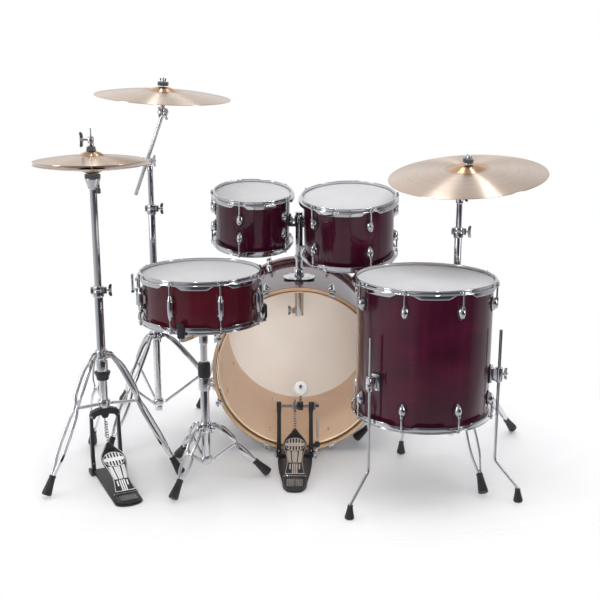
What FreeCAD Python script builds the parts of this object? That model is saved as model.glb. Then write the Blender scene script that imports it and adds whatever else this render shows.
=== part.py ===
"""An acoustic drum kit: bass drum with two rack toms, floor tom, snare drum, hi-hat, crash and ride
cymbals, their folding stands and both foot pedals.  Millimetres; X to the drummer's right, Y away
from the drummer, Z up; origin on the floor under the middle of the kit."""
import FreeCAD
import Part
import math
import os

import Sketcher

from FreeCAD import Placement, Rotation, Vector

os.makedirs("parts", exist_ok=True)
doc = FreeCAD.newDocument("DrumKit")

# ---------------------------------------------------------------- driving dimensions (the sheet)

SIZES = [
    # alias, value, what it measures
    ("shell_wall", 7.0, "thickness of every wooden shell"),
    ("rim_rise", 8.6, "height of a hoop's rim above its drum head"),
    ("rim_lip", 11.0, "how far a hoop's rolled lip stands out from the shell"),
    ("head_film", 0.5, "thickness of a drum head"),
    ("rod_radius", 2.75, "radius of a tension rod"),
    ("rod_offset", 13.6, "tension rod axis, out from the shell"),
    ("bass_radius", 279.4, "bass drum shell, half of 22 inch"),
    ("bass_depth", 457.2, "bass drum shell, 18 inch"),
    ("bass_hoop_radius", 294.0, "outside of the bass drum hoops"),
    ("bass_hoop_thick", 9.0, "bass drum hoop, thickness of the band"),
    ("bass_hoop_depth", 38.0, "bass drum hoop, depth of the band"),
    ("bass_hoop_proud", 13.0, "how far a bass hoop stands past the shell's edge"),
    ("bass_lugs", 8, "lugs around one side of the bass drum"),
    ("bass_tilt", 1.8, "degrees the bass drum's front is raised by its spurs"),
    ("high_radius", 127.0, "high tom shell, half of 10 inch"),
    ("high_depth", 177.8, "high tom shell, 7 inch"),
    ("mid_radius", 152.4, "mid tom shell, half of 12 inch"),
    ("mid_depth", 203.2, "mid tom shell, 8 inch"),
    ("tom_lugs", 5, "lugs around one side of a rack tom"),
    ("floor_radius", 203.2, "floor tom shell, half of 16 inch"),
    ("floor_depth", 406.4, "floor tom shell, 16 inch"),
    ("floor_lugs", 8, "lugs around one side of the floor tom"),
    ("snare_radius", 177.8, "snare shell, half of 14 inch"),
    ("snare_depth", 139.7, "snare shell, 5.5 inch"),
    ("snare_lugs", 8, "long lugs around the snare drum"),
    ("post_radius", 12.7, "tom post, 25.4 mm tube"),
    ("running_gap", 0.05, "radial clearance of a tube in its sleeve"),
    ("leg_rod_radius", 4.75, "floor tom leg, 9.5 mm rod"),
    ("hat_tube_radius", 13.5, "hi-hat base tube"),
    ("hat_upper_radius", 11.1, "hi-hat upper tube"),
    ("pull_rod_radius", 3.2, "hi-hat pull rod"),
    ("hat_cymbal_radius", 177.8, "hi-hat cymbals, half of 14 inch"),
    ("hat_gap", 9.0, "opening between the two hi-hat cymbals"),
    ("crash_tube_radius", 12.5, "crash stand base tube"),
    ("crash_upper_radius", 9.5, "crash stand upper tube"),
    ("boom_radius", 6.3, "crash stand boom rod"),
    ("crash_cymbal_radius", 228.6, "crash cymbal, half of 18 inch"),
    ("ride_tube_radius", 12.0, "ride stand base tube"),
    ("ride_upper_radius", 9.5, "ride stand upper tube"),
    ("ride_cymbal_radius", 254.0, "ride cymbal, half of 20 inch"),
    ("cymbal_thick", 1.6, "thickness of a cymbal"),
    ("cymbal_hole", 6.5, "radius of a cymbal's centre hole"),
    ("snare_tube_radius", 14.0, "snare stand base tube"),
    ("snare_upper_radius", 11.0, "snare stand upper tube"),
    ("foot_radius", 15.5, "rubber foot of a stand, at the floor"),
    ("foot_top_radius", 10.5, "rubber foot of a stand, at its upper end"),
    ("foot_length", 62.0, "rubber foot of a stand"),
    ("leg_width", 12.0, "width of a stand leg between its strut plates"),
    ("leg_thick", 9.0, "thickness of a stand leg"),
    ("strut_thick", 3.0, "thickness of a strut plate"),
    ("strut_width", 9.0, "height of a strut plate"),
    ("pedal_width", 78.0, "widest part of a footboard"),
    ("beater_radius", 25.0, "radius of the bass beater"),
]

sheet = doc.addObject("Spreadsheet::Sheet", "Sizes")
for row, (alias, value, note) in enumerate(SIZES, start=1):
    sheet.set(f"A{row}", note)
    sheet.set(f"B{row}", str(value))
    sheet.setAlias(f"B{row}", alias)
doc.recompute()


class Size:
    """A number worked out from the sheet: its value now, and the expression that gives it."""

    def __init__(self, value, text):
        self.value = value
        self.text = text

    def __add__(self, other):
        return Size(self.value + number(other), f"({self.text} + {text_of(other)})")

    def __radd__(self, other):
        return self + other

    def __sub__(self, other):
        return Size(self.value - number(other), f"({self.text} - {text_of(other)})")

    def __rsub__(self, other):
        return Size(number(other) - self.value, f"({text_of(other)} - {self.text})")

    def __mul__(self, other):
        return Size(self.value * number(other), f"({self.text} * {text_of(other)})")

    def __rmul__(self, other):
        return self * other

    def __truediv__(self, other):
        return Size(self.value / number(other), f"({self.text} / {text_of(other)})")

    def __neg__(self):
        return Size(-self.value, f"(-{self.text})")


def number(value):
    """The plain number behind a Size, or the number itself."""
    return value.value if isinstance(value, Size) else float(value)


def text_of(value):
    """The expression text of a Size or of a number."""
    return value.text if isinstance(value, Size) else f"{float(value):.6f}"


def size(alias):
    """The sheet's cell of that alias."""
    return Size(float(sheet.get(alias)), f"Sizes.{alias}")


def bind(thing, prop, value):
    """Give a property its value, tied to the sheet where the value comes from there."""
    if isinstance(value, Size):
        thing.setExpression(prop, value.text)
    else:
        thing.setExpression(prop, None)
        setattr(thing, prop, value)


# ---------------------------------------------------------------- building blocks

nodes = {}


def finish_node(label, thing, placement=None):
    """Name a sub-part, place it, and list it as one of the kit's nodes."""
    thing.Label = label
    if placement is not None:
        thing.Placement = placement
    nodes[label] = thing
    return thing


def new_body(name):
    """An empty body whose features may be separate solids."""
    body = doc.addObject("PartDesign::Body", name)
    body.AllowCompound = True
    return body


def origin_feature(body, role):
    """The body's own plane or axis of that role."""
    return next(feature for feature in body.Origin.OriginFeatures if feature.Role == role)


def draw(body, role, outline):
    """A sketch of one closed outline of straight lines, each corner tied to the sheet."""
    sketch = body.newObject("Sketcher::SketchObject", "Outline")
    sketch.AttachmentSupport = (origin_feature(body, role), [""])
    sketch.MapMode = "FlatFace"
    corners = [Vector(number(across), number(along), 0) for across, along in outline]
    count = len(corners)
    for index in range(count):
        sketch.addGeometry(Part.LineSegment(corners[index], corners[(index + 1) % count]), False)
    for index in range(count):
        sketch.addConstraint(Sketcher.Constraint("Coincident", index, 2, (index + 1) % count, 1))
    for index, (across, along) in enumerate(outline):
        for kind, value in (("DistanceX", across), ("DistanceY", along)):
            held = sketch.addConstraint(Sketcher.Constraint(kind, index, 1, number(value)))
            if isinstance(value, Size):
                sketch.setExpression(f"Constraints[{held}]", value.text)
    return sketch


def draw_circle(body, role, centre, radius):
    """A sketch of one circle."""
    sketch = body.newObject("Sketcher::SketchObject", "Circle")
    sketch.AttachmentSupport = (origin_feature(body, role), [""])
    sketch.MapMode = "FlatFace"
    middle = Vector(number(centre[0]), number(centre[1]), 0)
    sketch.addGeometry(Part.Circle(middle, Vector(0, 0, 1), number(radius)), False)
    constraints = (
        ("Radius", (0,), radius),
        ("DistanceX", (0, 3), centre[0]),
        ("DistanceY", (0, 3), centre[1]))
    for kind, picks, value in constraints:
        held = sketch.addConstraint(Sketcher.Constraint(kind, *picks, number(value)))
        if isinstance(value, Size):
            sketch.setExpression(f"Constraints[{held}]", value.text)
    return sketch


def spin(body, outline):
    """Turn an outline of (radius, height) corners about the body's Z axis."""
    turned = body.newObject("PartDesign::Revolution", "Turned")
    turned.Profile = draw(body, "XZ_Plane", outline)
    turned.ReferenceAxis = (origin_feature(body, "Z_Axis"), [""])
    turned.Angle = 360
    body.Tip = turned
    return turned


def block(body, role, outline, thickness, offset=0):
    """Pad an outline equally to both sides of a plane that stands off the origin plane by offset."""
    sketch = draw(body, role, outline)
    sketch.AttachmentOffset = Placement(Vector(0, 0, number(offset)), Rotation())
    pad = body.newObject("PartDesign::Pad", "Plate")
    pad.Profile = sketch
    pad.Midplane = True
    bind(pad, "Length", thickness)
    body.Tip = pad
    return pad


def pin(body, role, centre, radius, low, length):
    """A round pin standing on a plane at height low."""
    sketch = draw_circle(body, role, centre, radius)
    sketch.AttachmentOffset = Placement(Vector(0, 0, number(low)), Rotation())
    if isinstance(low, Size):
        sketch.setExpression("AttachmentOffset.Base.z", low.text)
    pad = body.newObject("PartDesign::Pad", "Pin")
    pad.Profile = sketch
    bind(pad, "Length", length)
    body.Tip = pad
    return pad


def around(body, features, count):
    """Repeat features evenly about the body's Z axis."""
    pattern = body.newObject("PartDesign::PolarPattern", "Around")
    pattern.Originals = features
    pattern.Axis = (origin_feature(body, "Z_Axis"), [""])
    pattern.Angle = 360
    bind(pattern, "Occurrences", count)
    body.Tip = pattern
    return pattern


def turned_piece(name, outline, placement=None):
    """A body made by one outline turned about Z."""
    body = new_body(name)
    spin(body, outline)
    if placement is not None:
        body.Placement = placement
    return body


def rod(name, start, end, radius):
    """A round bar from one point to another."""
    bar = doc.addObject("Part::Cylinder", name)
    start = Vector(*start)
    end = Vector(*end)
    bind(bar, "Radius", radius)
    bar.Height = (end - start).Length
    bar.Placement = Placement(start, Rotation(Vector(0, 0, 1), end - start))
    return bar


def plate_between(name, start, end, width, thickness, across):
    """A flat bar from one point to another; across is the direction its width lies in."""
    bar = doc.addObject("Part::Box", name)
    start = Vector(*start)
    along = Vector(*end) - start
    bar.Length = along.Length
    bind(bar, "Width", width)
    bind(bar, "Height", thickness)
    side = Vector(*across).normalize()
    up = along.cross(side).normalize()
    turn = Rotation(along, side, up, "XYZ")
    corner = start - side * (number(width) / 2) - up * (number(thickness) / 2)
    bar.Placement = Placement(corner, turn)
    return bar


def box(name, corner, length, width, height):
    """An upright block from its lowest corner."""
    made = doc.addObject("Part::Box", name)
    bind(made, "Length", length)
    bind(made, "Width", width)
    bind(made, "Height", height)
    made.Placement = Placement(Vector(*corner), Rotation())
    return made


def together(label, members, placement=None):
    """One node of several separate solids."""
    return finish_node(label, compound(label, members), placement)


def compound(name, members, placement=None):
    """Several separate solids held as one object."""
    held = doc.addObject("Part::Compound", name)
    held.Links = members
    if placement is not None:
        held.Placement = placement
    return held


def fused(name, members):
    """Several overlapping solids joined into one."""
    made = doc.addObject("Part::MultiFuse", name)
    made.Shapes = members
    return made


def cut(name, base, tool):
    """One solid with another taken out of it."""
    made = doc.addObject("Part::Cut", name)
    made.Base = base
    made.Tool = tool
    return made


def polar(radius, degrees):
    """A point on a circle about Z."""
    angle = math.radians(degrees)
    return radius * math.cos(angle), radius * math.sin(angle)


def about(axis, degrees):
    """A turn about an axis through the origin."""
    return Rotation(Vector(*axis), degrees)


# ---------------------------------------------------------------- drums

def ring_outline(inner, outer, low, high):
    """The section of a plain ring."""
    return [(inner, low), (outer, low), (outer, high), (inner, high)]


def shell(label, radius, depth, placement):
    """A wooden shell below a rim at height zero."""
    top = -size("rim_rise") - size("head_film")
    body = turned_piece(label, ring_outline(radius - size("shell_wall"), radius, top - depth, top))
    return finish_node(label, body, placement)


def hoop_outline(radius, rim, sign):
    """The section of a triple-flanged steel hoop; sign is -1 below its rim and +1 above it."""
    wall = 2.2
    step = size("rim_rise") - 0.3
    skirt = 17.0
    corners = [
        (radius + 2.2, 0),
        (radius + size("rim_lip"), 0),
        (radius + size("rim_lip"), wall),
        (radius + 2.2 + wall, wall),
        (radius + 2.2 + wall, step - wall),
        (radius + 6.6 + wall, step - wall),
        (radius + 6.6 + wall, skirt - wall),
        (radius + 11.0, skirt - wall),
        (radius + 11.0, skirt),
        (radius + 6.6, skirt),
        (radius + 6.6, step),
        (radius + 2.2, step),
    ]
    return [(across, rim + sign * down) for across, down in corners]


def hoop_set(label, radius, depth, lugs, placement):
    """Two steel hoops, each with an ear for every tension rod."""
    body = new_body(label)
    total = depth + 2 * (size("rim_rise") + size("head_film"))
    ear_low = 14.0
    ear_high = 17.0
    for rim, sign in ((Size(0.0, "0"), -1), (-total, 1)):
        spin(body, hoop_outline(radius, rim, sign))
        ear = block(body, "XZ_Plane", [
            (radius + 8.0, rim + sign * ear_low),
            (radius + 18.0, rim + sign * ear_low),
            (radius + 18.0, rim + sign * ear_high),
            (radius + 8.0, rim + sign * ear_high)], 18.0)
        around(body, [ear], lugs)
    return finish_node(label, body, placement)


def head_outline(radius, film_edge, sign):
    """A head's film with the aluminium ring that holds its edge round the shell."""
    collar = 6.5
    return [
        (0, film_edge),
        (radius + 5.6, film_edge),
        (radius + 5.6, film_edge + sign * collar),
        (radius + 0.8, film_edge + sign * collar),
        (radius + 0.8, film_edge + sign * size("head_film")),
        (0, film_edge + sign * size("head_film")),
    ]


def head_pair(label, radius, depth, placement):
    """The batter and resonant heads of a drum."""
    body = new_body(label)
    top = -size("rim_rise")
    bottom = top - depth - 2 * size("head_film")
    spin(body, head_outline(radius, top, -1))
    spin(body, head_outline(radius, bottom, 1))
    return finish_node(label, body, placement)


def lug_solids(name, radius, depth, lugs):
    """Teardrop lugs in two rows, each with its tension rod running to the nearer hoop."""
    body = new_body(name)
    total = depth + 2 * (size("rim_rise") + size("head_film"))
    near = 51.0
    far = 87.0
    ear_low = 13.8
    ear_high = 17.2
    for rim, sign in ((Size(0.0, "0"), -1), (-total, 1)):
        casting = block(body, "XZ_Plane", [
            (radius + 0.6, rim + sign * near),
            (radius + 17.5, rim + sign * near),
            (radius + 20.0, rim + sign * (near + 9)),
            (radius + 14.0, rim + sign * (far - 8)),
            (radius + 0.6, rim + sign * far)], 17.0)
        reach = radius + size("rod_offset")
        low = rim - near if sign < 0 else rim + ear_high
        shank = pin(body, "XY_Plane", (reach, 0), size("rod_radius"), low, near - ear_high)
        cap_low = rim - ear_low if sign < 0 else rim + 7.0
        cap = pin(body, "XY_Plane", (reach, 0), 4.0, cap_low, ear_low - 7.0)
        around(body, [casting, shank, cap], lugs)
    return body


def lug_set(label, radius, depth, lugs, placement):
    """The lugs and tension rods of a tom as a node."""
    return finish_node(label, lug_solids(label, radius, depth, lugs), placement)


def make_drum(name, radius, depth, lugs, first_lug, placement):
    """One tom or snare: shell, hoops and heads, all hung from the rim's centre."""
    turned = placement * Placement(Vector(), about((0, 0, 1), first_lug))
    shell(f"{name}_shell", radius, depth, placement)
    hoop_set(f"{name}_hoops", radius, depth, lugs, turned)
    head_pair(f"{name}_heads", radius, depth, placement)
    return turned


# The bass drum lies on its side: its own Z runs from the batter side to the front.
BASS_FACE = Vector(10, -7, number(size("bass_hoop_radius")) * math.cos(math.radians(1.8)))
BASS = Placement(BASS_FACE, about((1, 0, 0), -(90 - number(size("bass_tilt")))))
TOM_MOUNT_ALONG = 205.0
SPUR_ALONG = 382.0
SPUR_HEIGHT = 300.0


def bass_placement(first_angle=0.0):
    """The bass drum's place, turned about its own axis."""
    return BASS * Placement(Vector(), about((0, 0, 1), first_angle))


def bass_drum():
    """Shell, wooden hoops, heads, lugs and claws of the bass drum."""
    radius = size("bass_radius")
    depth = size("bass_depth")
    proud = size("bass_hoop_proud")
    face_to_face = depth + 2 * proud

    body = new_body("bass_drum_shell")
    spin(body, ring_outline(radius - size("shell_wall"), radius, proud, proud + depth))
    hole = body.newObject("PartDesign::Pocket", "MountHole")
    hole.Profile = draw_circle(body, "XZ_Plane", (0, TOM_MOUNT_ALONG), size("post_radius") + 4.0)
    hole.Length = 400
    hole.Reversed = True
    body.Tip = hole
    doc.recompute()
    wall_middle = Vector(0, number(size("shell_wall")) / 2 - number(radius), TOM_MOUNT_ALONG)
    if body.Shape.isInside(wall_middle, 0.1, True):
        raise RuntimeError("the tom mount's hole misses the top of the bass drum's shell")
    finish_node("bass_drum_shell", body, BASS)

    outer = size("bass_hoop_radius")
    inner = outer - size("bass_hoop_thick")
    lip = inner - 3.0
    hoops = new_body("bass_drum_hoops")
    for face, sign in ((Size(0.0, "0"), 1), (face_to_face, -1)):
        spin(hoops, [
            (lip, face),
            (outer, face),
            (outer, face + sign * size("bass_hoop_depth")),
            (inner, face + sign * size("bass_hoop_depth")),
            (inner, face + sign * (proud - 1.0)),
            (lip, face + sign * (proud - 1.0))])
    finish_node("bass_drum_hoops", hoops, BASS)

    heads = new_body("bass_drum_heads")
    for film, sign in ((proud - size("head_film"), 1), (proud + depth + size("head_film"), -1)):
        spin(heads, [
            (0, film),
            (radius + 5.0, film),
            (radius + 5.0, film + sign * 7.0),
            (radius + 0.8, film + sign * 7.0),
            (radius + 0.8, film + sign * size("head_film")),
            (0, film + sign * size("head_film"))])
    finish_node("bass_drum_heads", heads, BASS)

    lugs = new_body("bass_drum_lugs")
    claws = new_body("bass_drum_claws")
    reach = outer + 9.0
    for face, sign in ((Size(0.0, "0"), 1), (face_to_face, -1)):
        casting = block(lugs, "XZ_Plane", [
            (radius + 0.8, face + sign * 78.0),
            (reach + 7.0, face + sign * 78.0),
            (reach + 7.0, face + sign * 96.0),
            (radius + 12.0, face + sign * 122.0),
            (radius + 0.8, face + sign * 122.0)], 20.0)
        around(lugs, [casting], size("bass_lugs"))
        hook = block(claws, "XZ_Plane", [
            (outer - 14.0, face - sign * 0.4),
            (outer - 14.0, face - sign * 3.6),
            (outer + 3.0, face - sign * 3.6),
            (reach + 7.0, face + sign * 6.0),
            (reach + 7.0, face + sign * 24.0),
            (outer + 0.5, face + sign * 34.0),
            (outer + 0.5, face - sign * 0.4)], 22.0)
        low = face - 12.0 if sign > 0 else face - 77.5
        rod_pin = pin(claws, "XY_Plane", (reach, 0), 3.0, low, 89.5)
        around(claws, [hook, rod_pin], size("bass_lugs"))
    finish_node("bass_drum_lugs", lugs, bass_placement(22.5))
    finish_node("bass_drum_claws", claws, bass_placement(22.5))


def bass_spurs():
    """Two spurs: a knuckle on the shell and a leg that reaches forward and out to the floor."""
    for side, sign in (("left", -1), ("right", 1)):
        pivot = Vector(BASS_FACE.x + sign * 280.5, SPUR_ALONG, SPUR_HEIGHT)
        foot = Vector(BASS_FACE.x + sign * 396, 446, 0)
        start = pivot + Vector(sign * 14, 0, 0)
        down = (foot - start).normalize()
        tip = Vector(foot.x, foot.y, 9.0)
        knuckle = rod(f"spur_knuckle_{side}", pivot, pivot + Vector(sign * 26, 0, 0), 15.0)
        leg = rod(f"spur_leg_{side}", start, tip - down * 22, 6.3)
        arm = fused(f"spur_arm_{side}", [knuckle, leg])
        rubber = doc.addObject("Part::Cone", f"spur_tip_{side}")
        rubber.Radius1 = 9.5
        rubber.Radius2 = 12.5
        rubber.Height = 34
        upward = down * -1
        lean = math.sin(upward.getAngle(Vector(0, 0, 1)))
        end = Vector(foot.x, foot.y, 9.5 * lean)
        rubber.Placement = Placement(end, Rotation(Vector(0, 0, 1), start - end))
        trimmed = cut(f"spur_trimmed_{side}", arm, rubber)
        together(f"bass_spur_{side}", [trimmed, rubber])


# ---------------------------------------------------------------- tom mount and rack toms

POST = Placement(BASS.multVec(Vector(0, 0, TOM_MOUNT_ALONG)), about((1, 0, 0), 1.8))
POST_AXIS = POST.Rotation.multVec(Vector(0, 0, 1))
HIGH_TOM = Placement(Vector(-148, 160, 890), about((0, 0, 1), 8) * about((1, 0, 0), 10.5))
MID_TOM = Placement(Vector(176, 94, 884), about((0, 0, 1), -8) * about((1, 0, 0), 10.5))
ARM_HEIGHT = 484.0
ARM_POINT = POST.multVec(Vector(0, 0, ARM_HEIGHT))
ARM_RADIUS = 6.5
ARM_BLOCK_RADIUS = 16.6


def seen_from(tom):
    """The post's arm point in a tom's own frame: distance from its axis, heading and height."""
    local = tom.inverse().multVec(ARM_POINT)
    return math.hypot(local.x, local.y), math.degrees(math.atan2(local.y, local.x)), local.z


def arm_placement(tom):
    """A frame at the tom's axis whose X runs to the post, at the height of the arm."""
    _, heading, height = seen_from(tom)
    return tom * Placement(Vector(0, 0, height), about((0, 0, 1), heading))


def tom_mount():
    """The fixed receiver on the bass drum, and the post with its two tom arms."""
    shell_top = size("bass_radius")
    sleeve = size("post_radius") + 3.0
    bore = size("post_radius") + size("running_gap")
    plate = turned_piece("receiver", [
        (bore, 140.0),
        (sleeve, 140.0),
        (sleeve, shell_top + 1.2),
        (56.0, shell_top + 1.2),
        (56.0, shell_top + 3.0),
        (30.0, shell_top + 7.0),
        (sleeve + 4.0, shell_top + 10.0),
        (sleeve + 4.0, shell_top + 34.0),
        (bore, shell_top + 34.0)])
    wing = rod("receiver_screw", (-32, 0, 158), (-number(sleeve) - 0.4, 0, 158), 4.0)
    together("tom_mount_receiver", [plate, wing], POST)

    members = [
        rod("post_tube", (0, 0, 150), (0, 0, ARM_HEIGHT + 28), size("post_radius")),
        rod("post_block", (0, 0, ARM_HEIGHT - 15), (0, 0, ARM_HEIGHT + 15), ARM_BLOCK_RADIUS)]
    for name, tom, radius in (("high", HIGH_TOM, "high_radius"), ("mid", MID_TOM, "mid_radius")):
        distance, _, _ = seen_from(tom)
        to_post = POST.inverse() * arm_placement(tom)
        inner = to_post.multVec(Vector(number(size(radius)) + 2.4, 0, 0))
        outer = to_post.multVec(Vector(distance - 6.0, 0, 0))
        members.append(rod(f"{name}_arm", outer, inner, ARM_RADIUS))
    together("tom_post", [fused("post_and_arms", members)], POST)


def tom_bracket(name, radius, tom):
    """The bracket on a rack tom's shell, which turns on the post's arm."""
    start = number(radius) + 1.4
    distance, _, _ = seen_from(tom)
    room = distance - ARM_BLOCK_RADIUS - start - 1.6
    depth = min(10.6, room)
    plate = box(f"{name}_plate", (start, -16, -22), depth * 0.45, 32, 44)
    boss = rod(f"{name}_boss", (start, 0, 0), (start + depth, 0, 0), 12.0)
    bore = rod(f"{name}_bore", (start - 5, 0, 0), (start + 30, 0, 0), ARM_RADIUS + size("running_gap"))
    drilled = cut(f"{name}_drilled", fused(f"{name}_bracket_solid", [plate, boss]), bore)
    together(f"{name}_bracket", [drilled], arm_placement(tom))


def rack_toms():
    """The two toms above the bass drum."""
    drums = (
        ("high_tom", "high_radius", "high_depth", -42.0, HIGH_TOM),
        ("mid_tom", "mid_radius", "mid_depth", -59.0, MID_TOM))
    for name, radius, depth, first_lug, placement in drums:
        turned = make_drum(name, size(radius), size(depth), size("tom_lugs"), first_lug, placement)
        lug_set(f"{name}_lugs", size(radius), size(depth), size("tom_lugs"), turned)
        tom_bracket(name, size(radius), placement)


# ---------------------------------------------------------------- floor tom

FLOOR_TOM = Vector(388, -305, 690)
FLOOR_LEGS = (("left", -138.0, 231.0, 309.0), ("right", -17.0, 231.0, 308.0), ("rear", 95.0, 231.0, 294.0))
FLOOR_BRACKET = 402.0


def floor_tom():
    """The floor tom, its leg brackets and its three bent legs."""
    place = Placement(FLOOR_TOM, Rotation())
    radius = size("floor_radius")
    depth = size("floor_depth")
    turned = make_drum("floor_tom", radius, depth, size("floor_lugs"), 22.5, place)
    lugs = lug_solids("floor_tom_lug_castings", radius, depth, size("floor_lugs"))
    lugs.Placement = turned
    middle = Vector(FLOOR_TOM.x, FLOOR_TOM.y, 0)
    leg_radius = size("leg_rod_radius")
    brackets = []
    for name, angle, reach, foot_reach in FLOOR_LEGS:
        turn = Placement(middle, about((0, 0, 1), angle))
        block_start = number(radius) + 0.9
        bracket = box(f"bracket_{name}", (block_start, -17, FLOOR_BRACKET - 26), 42, 34, 52)
        bore = rod(f"bracket_bore_{name}", (reach, 0, FLOOR_BRACKET - 40), (reach, 0, FLOOR_BRACKET + 40),
                   leg_radius + size("running_gap"))
        drilled = cut(f"bracket_drilled_{name}", bracket, bore)
        drilled.Placement = turn
        brackets.append(drilled)
        bend = Vector(reach, 0, 128)
        ankle = Vector(foot_reach, 0, 40)
        upright = rod(f"leg_upright_{name}", bend, (reach, 0, 541), leg_radius)
        shin = rod(f"leg_shin_{name}", bend, ankle, leg_radius)
        knee = doc.addObject("Part::Sphere", f"leg_knee_{name}")
        bind(knee, "Radius", leg_radius)
        knee.Placement.Base = bend
        wire = fused(f"leg_wire_{name}", [upright, shin, knee])
        foot = doc.addObject("Part::Cone", f"leg_foot_{name}")
        foot.Radius1 = 15.0
        foot.Radius2 = 9.0
        foot.Height = 46
        foot.Placement.Base = Vector(foot_reach, 0, 0)
        trimmed = cut(f"leg_trimmed_{name}", wire, foot)
        together(f"floor_tom_leg_{name}", [trimmed, foot], turn)
    together("floor_tom_lugs", [lugs] + brackets)


# ---------------------------------------------------------------- stands

def collar(name, tube_radius, height, tall, outer):
    """A ring on a tube."""
    return turned_piece(name, ring_outline(tube_radius + 0.1, outer, height - tall / 2, height + tall / 2))


def leg_ears(name, ring, height):
    """Three pairs of ears that hold the leg ends of a collar."""
    body = new_body(name)
    gap = number(size("leg_width")) / 2 + 2.4
    for offset in (gap, -gap):
        outline = ring_outline(ring + 0.2, ring + 17.0, height - 9, height + 9)
        ears = block(body, "XZ_Plane", outline, 3.0, offset)
        around(body, [ears], 3)
    return body


def strut_ears(name, ring, height):
    """Three ears beside which the struts turn on a collar."""
    body = new_body(name)
    ear = block(body, "XZ_Plane", ring_outline(ring + 0.2, ring + 9.0, height - 7, height + 7), 5.0, -3.5)
    around(body, [ear], 3)
    return body


def turned_about(thing, degrees):
    """A piece of a stand turned about the stand's tube."""
    thing.Placement = Placement(Vector(), about((0, 0, 1), degrees))
    return thing


def leg_lean(inner, height, reach):
    """Angle from upright of a leg whose rubber foot's lowest edge rests on the floor."""
    lean = math.atan2(reach - inner, height)
    for _ in range(6):
        lean = math.atan2(reach - inner, height - number(size("foot_radius")) * math.sin(lean))
    return lean


def leg_points(inner, height, reach):
    """Hinge end, rubber's top and rubber's end of a leg in its own XZ plane."""
    lean = leg_lean(inner, height, reach)
    down = Vector(math.sin(lean), 0, -math.cos(lean))
    end = Vector(reach, 0, number(size("foot_radius")) * math.sin(lean))
    return Vector(inner, 0, height), end - down * number(size("foot_length")), end


def tripod_leg(name, inner, height, reach, turn):
    """One leg bar, standing in the XZ plane and turned to its place."""
    hinge, ankle, _ = leg_points(inner, height, reach)
    bar = plate_between(f"{name}_bar", hinge, ankle, size("leg_width"), size("leg_thick"), (0, 1, 0))
    return compound(f"{name}_leg", [bar], turn)


def rubber_foot(name, inner, height, reach, turn):
    """The tapered rubber sleeve on the end of a leg."""
    _, ankle, end = leg_points(inner, height, reach)
    cone = doc.addObject("Part::Cone", f"{name}_rubber")
    bind(cone, "Radius1", size("foot_radius"))
    bind(cone, "Radius2", size("foot_top_radius"))
    bind(cone, "Height", size("foot_length"))
    cone.Placement = Placement(end, Rotation(Vector(0, 0, 1), ankle - end))
    return compound(f"{name}_foot", [cone], turn)


def strut(name, low_point, joint_point, turn):
    """A plate beside the leg, from the lower collar to the leg's rivet."""
    offset = (number(size("leg_width")) + number(size("strut_thick"))) / 2 + 0.4
    shift = Vector(0, offset, 0)
    plate = plate_between(f"{name}_plate", Vector(*low_point) + shift, Vector(*joint_point) + shift,
                          size("strut_thick"), size("strut_width"), (0, 1, 0))
    return compound(f"{name}_strut", [plate], turn)


def tripod(name, tube_radius, collar_height, low_height, rivet_at, reach, first_angle):
    """A fixed double-braced tripod: two collars with ears, three legs, struts and rubber feet."""
    inner = number(tube_radius) + 18.0
    hinge, ankle, _ = leg_points(inner, collar_height, reach)
    rivet = hinge + (ankle - hinge) * rivet_at
    ring = tube_radius + 7.0
    members = [
        collar(f"{name}_leg_collar", tube_radius, collar_height, 30.0, ring),
        turned_about(leg_ears(f"{name}_leg_ears", ring, collar_height), first_angle),
        collar(f"{name}_strut_collar", tube_radius, low_height, 20.0, ring),
        turned_about(strut_ears(f"{name}_strut_ears", ring, low_height), first_angle)]
    for count in range(3):
        turn = Placement(Vector(), about((0, 0, 1), first_angle + 120 * count))
        members.append(tripod_leg(f"{name}_{count}", inner, collar_height, reach, turn))
        low_point = (number(ring) + 4.0, 0, low_height)
        members.append(strut(f"{name}_{count}", low_point, rivet, turn))
        members.append(rubber_foot(f"{name}_{count}", inner, collar_height, reach, turn))
    return members


def clamp(name, tube_radius, upper_radius, low, tall):
    """The clamp at the top of a tube that holds the tube above it, with its wing bolt."""
    sleeve = turned_piece(f"{name}_sleeve", [
        (tube_radius + 0.1, low),
        (tube_radius + 5.0, low),
        (tube_radius + 5.0, low + tall),
        (upper_radius + size("running_gap"), low + tall),
        (upper_radius + size("running_gap"), low + tall - 6.0),
        (tube_radius + 0.1, low + tall - 6.0)])
    reach = number(tube_radius) + 5.4
    screw = rod(f"{name}_screw", (reach, 0, low + tall / 2), (reach + 22, 0, low + tall / 2), 4.0)
    return [sleeve, screw]


def hollow_tube(name, outer, inner, low, high):
    """A length of tube."""
    return turned_piece(name, ring_outline(inner, outer, low, high))


def cymbal(name, radius, bow, bell_radius, bell_rise, placement):
    """A bowed cymbal with its bell upward; its rim lies at height zero."""
    thick = size("cymbal_thick")
    hole = size("cymbal_hole")
    under = [
        (radius, 0),
        (radius * 0.72, bow * 0.42),
        (radius * 0.45, bow * 0.76),
        (bell_radius, bow),
        (bell_radius * 0.86, bow + bell_rise * 0.55),
        (bell_radius * 0.58, bow + bell_rise * 0.92),
        (20.0, bow + bell_rise),
        (hole, bow + bell_rise)]
    over = [(across, height + thick) for across, height in reversed(under)]
    over[-1] = (radius, thick * 0.6)
    body = turned_piece(name, under + over)
    return finish_node(name, body, placement)


# ---------------------------------------------------------------- hi-hat

HAT = Vector(-623, -167, 0)
HAT_RIM = 1010.0
HAT_SEAT = HAT_RIM - 30.4
HAT_CUP_DEPTH = 19.4
HAT_PEDAL_TURN = 25.4


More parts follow.
